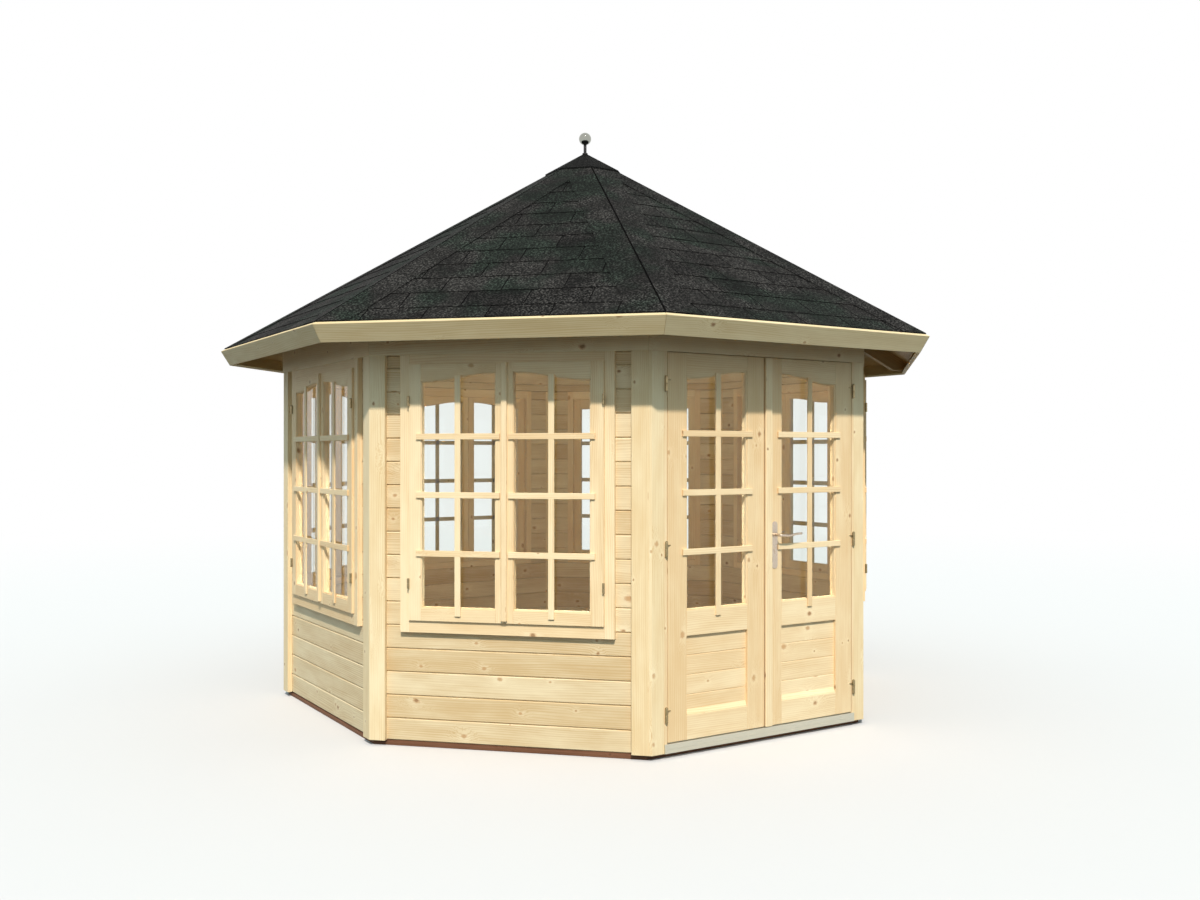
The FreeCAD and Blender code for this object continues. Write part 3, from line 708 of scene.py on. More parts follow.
def seams(low, high):
    """The heights at which a stack between two levels is divided."""
    levels = [FIRST_SEAM + COURSE * row for row in range(20)]
    return [low] + [level for level in levels if low + 0.01 < level < high - 0.01] + [high]


def log_stack(bm, u, low, high):
    """Logs over each other between two levels, on one tongue."""
    levels = seams(low, high)
    for foot, top in zip(levels, levels[1:]):
        log = block(bm, u, (LOG_BACK, LOG_FACE), (foot + SEAM / 2, top - SEAM / 2))
        bevelled(bm, log, runs_along(0), LOG_CHAMFER)
    middle = (LOG_BACK + LOG_FACE) / 2
    inset = 0.002
    block(bm, (min(u) + inset, max(u) - inset), (middle - TONGUE / 2, middle + TONGUE / 2),
          (low + inset, high - inset))


OPENING_FOOT = min(level for level in seams(WALL_FOOT, EAVES)
                   if level > CASING_FOOT + CASING_LAP)


def window_logs(bm):
    """The logs below a window, and those at both sides of it."""
    log_stack(bm, (-LOG_END, LOG_END), WALL_FOOT, OPENING_FOOT)
    log_stack(bm, (LINING_HALF, LOG_END), OPENING_FOOT, EAVES)
    log_stack(bm, (-LOG_END, -LINING_HALF), OPENING_FOOT, EAVES)
    lay_grain(bm, AXES[0])


for wall, wall_name in enumerate(WINDOW_WALLS, 1):
    piece(wall_name + "_logs", side_of(window_logs, wall), LOG_TIMBER,
          [wall_name + "_log_wall"], ease=0)

# %% [markdown]
# ## Corner posts
# A post is glued up from one thick blank and planed to a V, so that one leg lies on each of
# two walls, in front of their logs. Its plan is a short outline: one half is set out by
# distance along and out from the wall, and the other half mirrors it across the corner.

# %% The eight posts
ARRIS_ROUND = 0.004


def corner_twin(u, out):
    """The same point of a post, seen from the next wall round."""
    along = u * math.sin(STEP / 2) + out * math.cos(STEP / 2)
    return 2 * along * math.sin(STEP / 2) - u, 2 * along * math.cos(STEP / 2) - out


half_plan = [(LEG_EDGE, POST_FACE), (LEG_EDGE, LOG_FACE + 0.0003), (LOG_END + 0.0003, LOG_FACE),
             (LOG_END + 0.0003, LOG_BACK)]
plan = [(POST_FACE * CORNER, POST_FACE)] + half_plan + [(LOG_BACK * CORNER, LOG_BACK)]
plan += [corner_twin(u, out) for u, out in reversed(half_plan)]


def corner_post(bm):
    """The post at the right end of the front wall, with its sharp corner taken off."""
    blank = extruded(bm, [(u, -out, WALL_FOOT) for u, out in plan], (0, 0, EAVES - WALL_FOOT))
    tip = Vector((POST_FACE * CORNER, -POST_FACE, 0))
    at_tip = lambda e: all((v.co - tip).to_2d().length < 1e-4 for v in e.verts)
    bevelled(bm, blank, at_tip, ARRIS_ROUND, 3)
    lay_grain(bm, AXES[2])


piece("posts", all_round(corner_post), POST_TIMBER, ["corner_posts"])

# %% [markdown]
# ## Lights with an ogee head
# The top of every light sweeps up from its outer side to the middle of the window in a double
# curve, two arcs that meet at the same slope. A rail starts as a block. It is bisected into
# short lengths, and its lower edge is then lifted to the curve. A thin bead runs round each
# light, a little behind the face, and draws the fine second line seen round the glass.

# %% Frames with a light
BEAD = 0.005
BEAD_SETBACK = 0.004
OGEE_STEPS = 14


def ogee(u, light):
    """Height of a light's curved top at a distance from the meeting edge."""
    inner, outer, foot, low, high = light
    width, rise = outer - inner, high - low
    radius = width / 2 / math.sin(2 * math.atan(rise / width))
    across = min(max(outer - abs(u), 0.0), width)
    if across <= width / 2:
        return low + radius - math.sqrt(radius ** 2 - across ** 2)
    return high - radius + math.sqrt(radius ** 2 - (width - across) ** 2)


def ogee_bar(bm, side, light, out, lift, top):
    """A bar over a light that follows its curve below and, where top is None, above."""
    inner, outer, foot, low, high = light
    made = block(bm, (side * inner, side * outer), out, (low, high + 0.001))
    corners = set(made)
    for step in range(1, OGEE_STEPS):
        u = side * (inner + (outer - inner) * step / OGEE_STEPS)
        geom = list(corners) + list({e for v in corners for e in v.link_edges}) + faces_of(corners)
        cut = bmesh.ops.bisect_plane(bm, geom=geom, dist=1e-6, plane_co=(u, 0, 0),
                                     plane_no=(side, 0, 0))["geom_cut"]
        corners.update(item for item in cut if isinstance(item, bmesh.types.BMVert))
    for vert in corners:
        curve = ogee(vert.co.x, light)
        if vert.co.z < low + 0.0005:
            vert.co.z = curve + lift
        else:
            vert.co.z = curve + lift + BEAD if top is None else top


def glazed_frame(bm, side, edges, light, z, out, rail_foot):
    """Stiles, rail and ogee head round a light, with the bead inside them."""
    inner, outer, foot, low, high = light
    members = [((edges[0], inner - BEAD), z), ((outer + BEAD, edges[1]), z),
               ((inner - BEAD, outer + BEAD), (rail_foot, foot - BEAD))]
    for (u0, u1), heights in members:
        block(bm, (side * u0, side * u1), out, heights)
    wide = (inner - BEAD, outer + BEAD, foot, low, high)
    ogee_bar(bm, side, wide, out, BEAD, z[1])
    set_back = (out[0] + 0.001, out[1] - BEAD_SETBACK)
    for u0, u1 in ((inner - BEAD, inner), (outer, outer + BEAD)):
        top = ogee(u0, light) + BEAD / 2
        block(bm, (side * u0, side * u1), set_back, (foot - BEAD, top))
    block(bm, (side * inner, side * outer), set_back, (foot - BEAD, foot))
    ogee_bar(bm, side, light, set_back, 0.0, None)


# %% [markdown]
# ## Lattice bars
# The small panes are a look, not a structure: one upright and three level bars are laid over
# each pane and pinned to the face of the frame. Their ends run a little past the light, and
# the sun draws a short shadow under every end.

# %% Bars over a light
BAR_WIDTH, BAR_THICK = 0.029, 0.009
BAR_FOOT_LAP, BAR_HEAD_LAP = 0.040, 0.012
LATTICE_ROWS = 4


def lattice(bm, side, light, drop, lap, face):
    """One upright bar and the level bars across it."""
    inner, outer, foot, low, high = light
    middle, top = (inner + outer) / 2, (low + high) / 2
    front = (face, face + BAR_THICK - 0.0004)
    half = BAR_WIDTH / 2
    block(bm, (side * (middle - half), side * (middle + half)), front,
          (foot - BAR_FOOT_LAP, top + BAR_HEAD_LAP))
    pitch = (top - foot + drop) / LATTICE_ROWS
    for row in range(1, LATTICE_ROWS):
        level = foot - drop + row * pitch
        block(bm, (side * (inner - lap), side * (outer + lap)), (face, face + BAR_THICK),
              (level - half, level + half))


# %% [markdown]
# ## Windows
# A window has a casing that covers the ends of the logs, a lining that runs through the wall,
# and two casements that close on it and stand a little in front. A round-nosed strip covers
# the meeting of the casements. The same joinery serves all seven walls.

# %% Casings, linings and casements
SASH_GAP, FOOT_GAP = 0.0005, 0.002
SASH_THICK = 0.040
STOP_LAP = 0.013                     # the lining laps the casements by this much
OUTER_STILE, MEETING_STILE, FOOT_RAIL = 0.0675, 0.047, 0.067
HEAD_LOW, HEAD_HIGH = 0.090, 0.050
MEETING_GAP = 0.002
SASH_DROP, SASH_LAP = 0.022, 0.027
STRIP_WIDTH, STRIP_FOOT, STRIP_NOSE = 0.030, 0.012, 0.006

sash_face = SASH_BACK + SASH_THICK
reveal = SASH_EDGE + SASH_GAP
sash_light = (MEETING_GAP / 2 + MEETING_STILE, SASH_EDGE - OUTER_STILE, SASH_FOOT + FOOT_RAIL,
              SASH_TOP - HEAD_LOW, SASH_TOP - HEAD_HIGH)


def window_case(bm):
    """Casing boards on the logs and lining boards through the wall."""
    cased, lined = (LOG_FACE, POST_FACE), (LOG_BACK, SASH_BACK)
    stop = SASH_EDGE - STOP_LAP
    for side in (-1, 1):
        block(bm, (side * reveal, side * CASING_HALF), cased, (CASING_FOOT, EAVES))
        block(bm, (side * stop, side * LINING_HALF), lined, (OPENING_FOOT, EAVES))
    block(bm, (-reveal, reveal), cased, (CASING_FOOT, SASH_FOOT - FOOT_GAP))
    block(bm, (-reveal, reveal), cased, (SASH_TOP + SASH_GAP, EAVES))
    block(bm, (-stop, stop), lined, (OPENING_FOOT, SASH_FOOT + STOP_LAP))
    block(bm, (-stop, stop), lined, (SASH_TOP - STOP_LAP, EAVES))
    lay_grain(bm)


def casements(bm):
    """Both casements with their bars, and the strip over their meeting."""
    for side in (-1, 1):
        glazed_frame(bm, side, (MEETING_GAP / 2, SASH_EDGE), sash_light, (SASH_FOOT, SASH_TOP),
                     (SASH_BACK, sash_face), SASH_FOOT)
        lattice(bm, side, sash_light, SASH_DROP, SASH_LAP, sash_face)
    half = STRIP_WIDTH / 2
    strip = block(bm, (-half, half), (sash_face, sash_high.y), (SASH_FOOT + STRIP_FOOT, SASH_TOP))
    nose = lambda e: runs_along(2)(e) and all(v.co.y < -sash_face - 0.001 for v in e.verts)
    bevelled(bm, strip, nose, STRIP_NOSE, 3)
    lay_grain(bm)


for wall, wall_name in enumerate(WINDOW_WALLS, 1):
    piece(wall_name + "_casing", side_of(window_case, wall), JOINERY,
          [wall_name + "_window_frame"])
    piece(wall_name + "_casements", side_of(casements, wall), JOINERY,
          [wall_name + "_window_sashes"])

# %% [markdown]
# ## Hinges
# Lift-off hinges are turned barrels in two halves, with rounded ends, and on the door a small
# button at the tip. Each half is a cylinder whose end rims are bevelled. On the windows both
# halves show at the outer edge of the casement. On the door the lower half belongs to the post
# and the upper half to the leaf, so they are separate pieces.

# %% Turned barrels
WINDOW_HINGE_RADIUS, WINDOW_HINGE_HEIGHT, WINDOW_HINGE_INSET = 0.006, 0.050, 0.180
BARREL_SIDES = 20


def barrel(bm, u, out, low, high, radius, rounding=0.0012):
    """An upright turned barrel with rounded rims."""
    place = Matrix.Translation((u, -out, (low + high) / 2))
    made = bmesh.ops.create_cone(bm, cap_ends=True, segments=BARREL_SIDES, radius1=radius,
                                 radius2=radius, depth=high - low, matrix=place)["verts"]
    bevelled(bm, made, lambda e: not runs_along(2)(e), rounding, 2)


def casement_hinges(bm):
    """The four hinges of one window, each in two halves."""
    out = sash_face + WINDOW_HINGE_RADIUS
    for level in (SASH_FOOT + WINDOW_HINGE_INSET, SASH_TOP - WINDOW_HINGE_INSET):
        for side in (-1, 1):
            low = level - WINDOW_HINGE_HEIGHT / 2
            barrel(bm, side * SASH_EDGE, out, low, level - 0.0003, WINDOW_HINGE_RADIUS)
            barrel(bm, side * SASH_EDGE, out, level + 0.0003, low + WINDOW_HINGE_HEIGHT,
                   WINDOW_HINGE_RADIUS)


piece("casement_hinges", gathered([side_of(casement_hinges, wall) for wall in range(1, SIDES)]),
      HINGE_METAL, ["window_hinges"], ease=0, smooth=True)

# %% [markdown]
# ## Doorway
# Flat boards cover the two posts beside the door and bring their faces level with the leaves.
# Behind them are jambs and a head that the leaves close against, and under them a threshold
# of drawn aluminium with low ribs, which throws rain off and gives a grip under the shoe.

# %% Boards, jambs, head and threshold
RIB_COUNT, RIB_WIDTH, RIB_HEIGHT = 5, 0.006, 0.002

DOOR_FACE = -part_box("door_casings")[0].y
boards = fresh()
corner_u = (POST_FACE - DOOR_FACE * math.cos(STEP)) / math.sin(STEP)
for side in (-1, 1):
    plan = [(LEG_EDGE, POST_FACE + 0.0003), (LEG_EDGE, DOOR_FACE), (corner_u, DOOR_FACE),
            (POST_FACE * CORNER, POST_FACE + 0.0003)]
    extruded(boards, [(side * u, -out, WALL_FOOT) for u, out in plan], (0, 0, EAVES - WALL_FOOT))
lay_grain(boards, AXES[2])
piece("door_post_boards", boards, POST_TIMBER, ["door_casings"])

plain_piece("door_linings", JOINERY, ["door_jambs", "door_head"])

sill_low, sill_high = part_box("door_threshold")
sill = from_frame("door_threshold")
for rib in range(RIB_COUNT):
    out = DOOR_FACE - 0.010 - rib * 2 * RIB_WIDTH
    block(sill, (-LEG_EDGE + 0.004, LEG_EDGE - 0.004), (out - RIB_WIDTH, out),
          (sill_high.z - 0.001, sill_high.z + RIB_HEIGHT))
nose_low = sill_low.z + 0.008
block(sill, (-LEG_EDGE + 0.001, LEG_EDGE - 0.001), (-sill_low.y, -sill_low.y + 0.002),
      (nose_low, nose_low + 0.010))
piece("threshold", sill, THRESHOLD_METAL, ["door_threshold"],
      ease=0.001)

# %% [markdown]
# ## Door leaves
# A leaf is framed like a casement, only thicker set: two stiles, a foot rail, a lock rail and
# an ogee head. Over the lock rail is glass with lattice bars, under it a panel of level
# boards with grooved joints, and a sloping ledge at its foot that leads the rain outwards.

# %% Both leaves
LEAF_OUTER_STILE, LEAF_MEETING_STILE = 0.114, 0.111
LEAF_FOOT_RAIL, LEAF_PANEL, LEAF_LOCK_RAIL = 0.115, 0.375, 0.125
LEAF_HEAD_LOW, LEAF_HEAD_HIGH = 0.118, 0.075
LEAF_THICK = 0.040
DOOR_DROP, DOOR_LAP = 0.008, 0.032
PANEL_ROWS, PANEL_GROOVE = 4, 0.0025
PANEL_SETBACK, PANEL_THICK = 0.014, 0.020
LEDGE_HEIGHT, LEDGE_DEPTH = 0.026, 0.012

leaf_low, leaf_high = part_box("right_leaf_frame")
panel_foot = leaf_low.z + LEAF_FOOT_RAIL
panel_top = panel_foot + LEAF_PANEL
leaf_light = (leaf_low.x + LEAF_MEETING_STILE, leaf_high.x - LEAF_OUTER_STILE,
              panel_top + LEAF_LOCK_RAIL, leaf_high.z - LEAF_HEAD_LOW,
              leaf_high.z - LEAF_HEAD_HIGH)
leaf_out = (DOOR_FACE - LEAF_THICK, DOOR_FACE)
SIDE_FILL, HEAD_FILL = 0.002, 0.0035     # the stile and the head are dressed this much wider


def leaf_frame(bm, side):
    """Stiles, rails and lattice of one leaf."""
    inner, outer, foot, low, high = leaf_light
    glazed_frame(bm, side, (leaf_low.x, leaf_high.x + SIDE_FILL), leaf_light,
                 (leaf_low.z, leaf_high.z + HEAD_FILL), leaf_out, panel_top)
    block(bm, (side * (inner - BEAD), side * (outer + BEAD)), leaf_out, (leaf_low.z, panel_foot))
    lattice(bm, side, leaf_light, DOOR_DROP, DOOR_LAP, DOOR_FACE)


def leaf_panel(bm, side):
    """Grooved level boards and the ledge at their foot."""
    inner, outer, foot, low, high = leaf_light
    front = DOOR_FACE - PANEL_SETBACK
    for row in range(PANEL_ROWS):
        z0 = panel_foot + LEAF_PANEL * row / PANEL_ROWS
        z1 = panel_foot + LEAF_PANEL * (row + 1) / PANEL_ROWS
        plank = block(bm, (side * (inner - BEAD), side * (outer + BEAD)),
                      (front - PANEL_THICK, front), (z0 + 0.0003, z1 - 0.0003))
        bevelled(bm, plank, runs_along(0), PANEL_GROOVE)
    wedge = [(front, panel_foot), (front + LEDGE_DEPTH, panel_foot),
             (front + LEDGE_DEPTH, panel_foot + 0.004), (front, panel_foot + LEDGE_HEIGHT)]
    start, end = side * (inner - BEAD / 2), side * (outer + BEAD / 2)
    extruded(bm, [(start, -out, z) for out, z in wedge], (end - start, 0, 0))


LEAVES = ((1, "right_leaf"), (-1, "left_leaf"))
for side, leaf in LEAVES:
    framed = fresh()
    leaf_frame(framed, side)
    lay_grain(framed)
    piece(leaf + "_joinery", framed, JOINERY, [leaf + "_frame"], leaf)
    panelled = fresh()
    leaf_panel(panelled, side)
    lay_grain(panelled)
    piece(leaf + "_boards", panelled, JOINERY, [leaf + "_panel"], leaf, ease=0)

astragal_low, astragal_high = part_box("right_leaf_astragal")
cover = fresh()
strip = block(cover, (astragal_low.x, astragal_high.x), (-astragal_high.y, -astragal_low.y),
              (astragal_low.z, astragal_high.z))
front_edge = lambda e: runs_along(2)(e) and all(v.co.y < astragal_low.y + 0.001 for v in e.verts)
bevelled(cover, strip, front_edge, 0.004, 3)
lay_grain(cover)
piece("right_leaf_cover_strip", cover, JOINERY, ["right_leaf_astragal"],
      "right_leaf", ease=0)

# %% [markdown]
# ## Door hinges
# The door's barrels are larger. The lower half's stem is screwed straight back into the strip
# beside the leaf, and the upper half's stem goes into the leaf at a slant. Barrels are
# cylinders with rounded rims, stems are plain cylinders, and each barrel ends in a small button.

# %% Barrels of the door
KNUCKLE_GAP = 0.0005
BUTTON_RADIUS, BUTTON_OUT = 0.0045, 0.003
DOOR_HINGE_HEIGHT, DOOR_HINGE_RADIUS = 0.070, 0.007
HINGE_FOOT_INSET, HINGE_HEAD_INSET = 0.131, 0.144
STEM_RADIUS, STEM_LENGTH = 0.0033, 0.040
STEM_SLANT = math.radians(20)
STRAIGHT_BACK = Vector((0, 1, 0))
INTO_LEAF = Vector((-math.cos(STEM_SLANT), math.sin(STEM_SLANT), 0))

knuckles_low, knuckles_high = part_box("right_leaf_hinges")
hinge_u = knuckles_high.x - DOOR_HINGE_RADIUS
hinge_out = -knuckles_low.y - DOOR_HINGE_RADIUS
low_hinge = leaf_low.z + HINGE_FOOT_INSET
high_hinge = leaf_high.z - HINGE_HEAD_INSET
hinge_levels = (low_hinge, (low_hinge + high_hinge) / 2, high_hinge)


def stem(bm, side, height, direction):
    """A stem that leaves the barrel's middle in a direction, mirrored for the left leaf."""
    way = Vector((side * direction.x, direction.y, 0))
    place = Matrix.Translation(Vector((side * hinge_u, -hinge_out, height)) + way * STEM_LENGTH / 2)
    place = place @ way.to_track_quat("Z", "Y").to_matrix().to_4x4()
    bmesh.ops.create_cone(bm, cap_ends=True, segments=12, radius1=STEM_RADIUS,
                          radius2=STEM_RADIUS, depth=STEM_LENGTH, matrix=place)


fixed = fresh()
half = DOOR_HINGE_HEIGHT / 2
for side, leaf in LEAVES:
    hung = fresh()
    u = side * hinge_u
    for level in hinge_levels:
        barrel(fixed, u, hinge_out, level - half, level - KNUCKLE_GAP / 2, DOOR_HINGE_RADIUS)
        barrel(fixed, u, hinge_out, level - half - BUTTON_OUT, level - half + 0.001,
               BUTTON_RADIUS)
        barrel(hung, u, hinge_out, level + KNUCKLE_GAP / 2, level + half, DOOR_HINGE_RADIUS)
        barrel(hung, u, hinge_out, level + half - 0.001, level + half + BUTTON_OUT, BUTTON_RADIUS)
        stem(fixed, side, level - half / 2, STRAIGHT_BACK)
        stem(hung, side, level + half / 2, INTO_LEAF)
    piece(leaf + "_barrels", hung, HINGE_METAL, [leaf + "_hinges"], leaf,
          ease=0, smooth=True)
piece("door_post_barrels", fixed, HINGE_METAL, ["door_hinge_pins"], ease=0,
      smooth=True)

# %% [markdown]
# ## Lock plates and lever
# A long plate with round ends covers the lock on both faces of the leaf. It is a box whose
# four corners are bevelled until they meet in an arc. The lever leaves it through a rose and
# runs to one side in a slow wave. A curve with a round section, thicker at the neck than at
# the tip, gives that wave, and is made a mesh before it is joined to the rest.

# %% Plates, screws and keyhole
plate_low, plate_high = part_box("lock_plates")
SPINDLE_U = (plate_low.x + plate_high.x) / 2
PLATE_THICK = 0.003
lever_low, lever_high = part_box("door_lever")
LEVER_RADIUS = 0.008
LEVER_LEVEL = (lever_low.z + lever_high.z) / 2
KEY_DROP = 0.072
ROSE_RADIUS, KEY_RADIUS, SCREW_RADIUS = 0.0135, 0.0085, 0.0036
SCREW_INSET = 0.016
KEY_HALF, KEY_TALL = 0.004, 0.020


def disc(bm, u, out, z, radius, depth, rounding, segments=24):
    """A short round part that stands on a face of the leaf."""
    place = Matrix.Translation((u, -out, z)) @ Matrix.Rotation(math.pi / 2, 4, "X")
    made = bmesh.ops.create_cone(bm, cap_ends=True, segments=segments, radius1=radius,
                                 radius2=radius, depth=depth, matrix=place)["verts"]
    bevelled(bm, made, lambda e: not runs_along(1)(e), rounding, 2)


plates = fresh()
for face, outward in ((DOOR_FACE, 1), (leaf_out[0], -1)):
    near, far = sorted((face, face + outward * PLATE_THICK))
    plate = block(plates, (plate_low.x, plate_high.x), (near, far), (plate_low.z, plate_high.z))
    bevelled(plates, plate, runs_along(1), (plate_high.x - plate_low.x) * 0.46, 7)
    surface = face + outward * PLATE_THICK
    key_level = LEVER_LEVEL - KEY_DROP
    disc(plates, SPINDLE_U, surface + outward * 0.0015, LEVER_LEVEL, ROSE_RADIUS, 0.003, 0.001)
    disc(plates, SPINDLE_U, surface + outward * 0.001, key_level, KEY_RADIUS, 0.003, 0.0008)
    block(plates, (SPINDLE_U - KEY_HALF, SPINDLE_U + KEY_HALF),
          tuple(sorted((surface - outward * 0.0005, surface + outward * 0.002))),
          (key_level - KEY_TALL, key_level))
    for level in (plate_low.z + SCREW_INSET, plate_high.z - SCREW_INSET):
        disc(plates, SPINDLE_U, surface + outward * 0.0004, level, SCREW_RADIUS, 0.0016, 0.0005,
             16)
piece("lock_long_plates", plates, HANDLE_METAL, ["lock_plates"],
      "right_leaf", ease=0.0006, angle=40)

# %% The waved lever
LEVER_PLAY = 0.0006
# along the lever, up from its axis, and the radius there as a share of the neck's
LEVER_WAVE = [(0.000, 0.000, 1.00), (0.022, -0.001, 1.00), (0.050, -0.0045, 0.86),
              (0.082, -0.001, 0.78), (0.112, 0.0045, 0.74), (0.140, 0.0045, 0.70)]


def lever_arm(reach, outward):
    """One arm as a mesh, from a smooth curve through the wave's points."""
    curve = bpy.data.curves.new("lever arm", "CURVE")
    curve.dimensions = "3D"
    curve.bevel_depth = LEVER_RADIUS * 0.92
    curve.bevel_resolution = 5
    curve.resolution_u = 6
    curve.use_fill_caps = True
    spline = curve.splines.new("NURBS")
    face = DOOR_FACE if outward > 0 else leaf_out[0]
    neck = [face + outward * (PLATE_THICK + LEVER_PLAY), face + outward * reach * 0.55]
    points = [(SPINDLE_U, -out, LEVER_LEVEL, 1.0) for out in neck]
    points += [(SPINDLE_U + along, -(face + outward * reach), LEVER_LEVEL + up, share)
               for along, up, share in LEVER_WAVE]
    spline.points.add(len(points) - 1)
    for point, (x, y, z, share) in zip(spline.points, points):
        point.co = (x, y, z, 1.0)
        point.radius = share
    spline.order_u = 3
    spline.use_endpoint_u = True
    holder = put_in_scene("lever arm", curve)
    bpy.context.view_layer.update()
    mesh = bpy.data.meshes.new_from_object(holder.evaluated_get(
        bpy.context.evaluated_depsgraph_get()))
    bpy.data.objects.remove(holder)
    bpy.data.curves.remove(curve)
    return mesh


LEVER_REACH = -lever_low.y - DOOR_FACE - LEVER_RADIUS
lever = bmesh.new()
for outward in (1, -1):
    arm = lever_arm(LEVER_REACH, outward)
    lever.from_mesh(arm)
    bpy.data.meshes.remove(arm)
bmesh.ops.remove_doubles(lever, verts=lever.verts, dist=1e-6)
lever.loops.layers.uv.verify()
disc(lever, SPINDLE_U, (leaf_out[0] + DOOR_FACE) / 2, LEVER_LEVEL, 0.004, 0.060, 0.0005, 16)
piece("lever_handle", lever, HANDLE_METAL, ["door_lever"], "lever", ease=0,
      smooth=True)

# %% [markdown]
# ## Over the posts
# Above the posts the logs go on up to the roof, and a wide cover board runs in front of them
# all round. The logs are stacked as before, then sawn to the corner angle and to the slope of
# the roof. The cover boards, the rafters and the hub are right as solids, and only need grain.

# %% Upper logs, cover boards, rafters and hub
EAVE_RISE, ROOF_RISE = 0.122, 1.253
EAVE_OUT = cad_high.x
SLOPE = ROOF_RISE / EAVE_OUT
PITCH_ANGLE = math.atan(SLOPE)
EAVE_LEVEL = EAVES + EAVE_RISE
FASCIA_LEAN, FASCIA_DROP, FASCIA_THICK = 0.047, 0.083, 0.022
APEX = EAVE_LEVEL + ROOF_RISE
SHINGLE, ROOF_BOARD, ATTIC_CLEAR = 0.004, 0.018, 0.004
board_drop = (SHINGLE + ROOF_BOARD) / math.cos(PITCH_ANGLE)


def attic_side(bm):
    """Stacked logs of one side, under the roof boards."""
    underside = APEX - board_drop - ATTIC_CLEAR
    top = underside - SLOPE * LOG_BACK
    log_stack(bm, (-LOG_FACE * CORNER, LOG_FACE * CORNER), EAVES + 0.001, top)
    mitre(bm)
    slope_normal = Vector((0, -math.sin(PITCH_ANGLE), math.cos(PITCH_ANGLE)))
    saw(bm, Vector((0, -LOG_FACE, underside - SLOPE * LOG_FACE)), slope_normal)
    lay_grain(bm, AXES[0])


piece("attic_logs", all_round(attic_side), LOG_TIMBER, ["upper_logs"], ease=0)

plain_piece("cover_boards", POST_TIMBER, ["eaves_band"], round_the_ring)


def down_the_hip(middle):
    """Grain that falls outwards with a hip."""
    level = Vector((middle.x, middle.y, 0)).normalized()
    return (level - Vector((0, 0, SLOPE * math.cos(STEP / 2)))).normalized()


plain_piece("rafters", ROOF_TIMBER_PAINTED_SHADE, ["hip_rafters"], down_the_hip, ease=0.002)
plain_piece("hub", ROOF_TIMBER_PAINTED_SHADE, ["rafter_hub"], AXES[2], ease=0.002)

# %% [markdown]
# ## Roof boards
# The boards lie on the rafters, level and side by side up each slope. They are made flat in
# the slope's own plane, where x runs along the eave, y up the slope and z out of it, and a
# matrix then lays that plane on the roof. The hips are sawn last, so every joint lines up.

# %% Boards under the felt
ROOF_BOARD_WIDTH, ROOF_GROOVE = 0.096, 0.002
ROOF_START = 0.025
FELT_EAVE = 1.9855                   # where the felt ends, on the fascia's top edge
slope_plane = Matrix.Translation((0, -EAVE_OUT, EAVE_LEVEL)) @ Matrix.Rotation(PITCH_ANGLE, 4, "X")


def up_the_slope(out):
    """Distance up the slope from the eave's edge to a distance from the middle."""
    return (EAVE_OUT - out) / math.cos(PITCH_ANGLE)


def sheet_of(bm, x, y, z):
    """A box in the slope's plane."""
    return block(bm, x, (-y[1], -y[0]), z)


def boarded_side(bm):
    """Grooved boards of one slope, from the fascia to the top."""
    foot = up_the_slope(FELT_EAVE) - ROOF_GROOVE
    top = up_the_slope(ROOF_START)
    count = round((top - foot) / ROOF_BOARD_WIDTH)
    for row in range(count):
        y0 = foot + (top - foot) * row / count
        y1 = foot + (top - foot) * (row + 1) / count
        half = (EAVE_OUT - y0 * math.cos(PITCH_ANGLE)) * CORNER + 0.02
        plank = sheet_of(bm, (-half, half), (y0 + 0.0002, y1 - 0.0002),
                         (-SHINGLE - ROOF_BOARD, -SHINGLE))
        bevelled(bm, plank, runs_along(0), ROOF_GROOVE)
    bmesh.ops.transform(bm, matrix=slope_plane, verts=bm.verts)
    mitre(bm)
    saw(bm, fascia_inside, fascia_faces)
    lay_grain(bm, AXES[0])


# the way the fascia faces on the front side, and a point of its inner face
fascia_faces = Vector((0, -FASCIA_DROP, -FASCIA_LEAN)).normalized()
fascia_inside = Vector((0, -EAVE_OUT, EAVE_LEVEL)) - fascia_faces * FASCIA_THICK
piece("roof_planks", all_round(boarded_side), ROOF_TIMBER_PAINTED_SHADE, ["roof_boards"],
      ease=0)

# %% [markdown]
# ## Shingles
# A course of shingles is a row of tabs with a slot between each two, and every course laps
# the one below and is set half a tab along. A tab is a thin box that tips down at its lower
# edge, the way felt lies. The faces of its edges get the mark for cut felt, which the finish
# turns black, and so every course draws its own dark line. Felt strips are folded over the
# hips last and hide the sawn ends of the tabs.

# %% Courses of tabs
TAB_WIDTH, SLOT = 0.303, 0.006
COURSE_LINE, COURSE_STEP = 1.882, 0.1455   # the first joint's distance out, and the next
TAB_THICK, TAB_LAP = 0.003, 0.030
HIP_LINE = 0.010                     # the open line between two slopes' felt
FELT_TOP = 0.16


def edges_cut(bm):
    """Marks the faces that stand square to the slope as cut felt."""
    bmesh.ops.recalc_face_normals(bm, faces=bm.faces)
    tone = bm.faces.layers.float["board_tone"]
    cut_edge = bm.faces.layers.float["cut_edge"]
    for board in islands(bm):
        shade = draw.random()
        for face in board:
            face[tone] = shade
            face[cut_edge] = float(abs(face.normal.z) < 0.5)


def tab(bm, x, y0, y1):
    """One tab: its lower edge lies on the course below, its upper edge on the boards."""
    corners = sheet_of(bm, x, (y0, y1 + TAB_LAP), (0, TAB_THICK))
    for corner in corners:
        if corner.co.y < y0 + 0.001:
            corner.co.z += 0.0005
        else:
            corner.co.z -= TAB_THICK


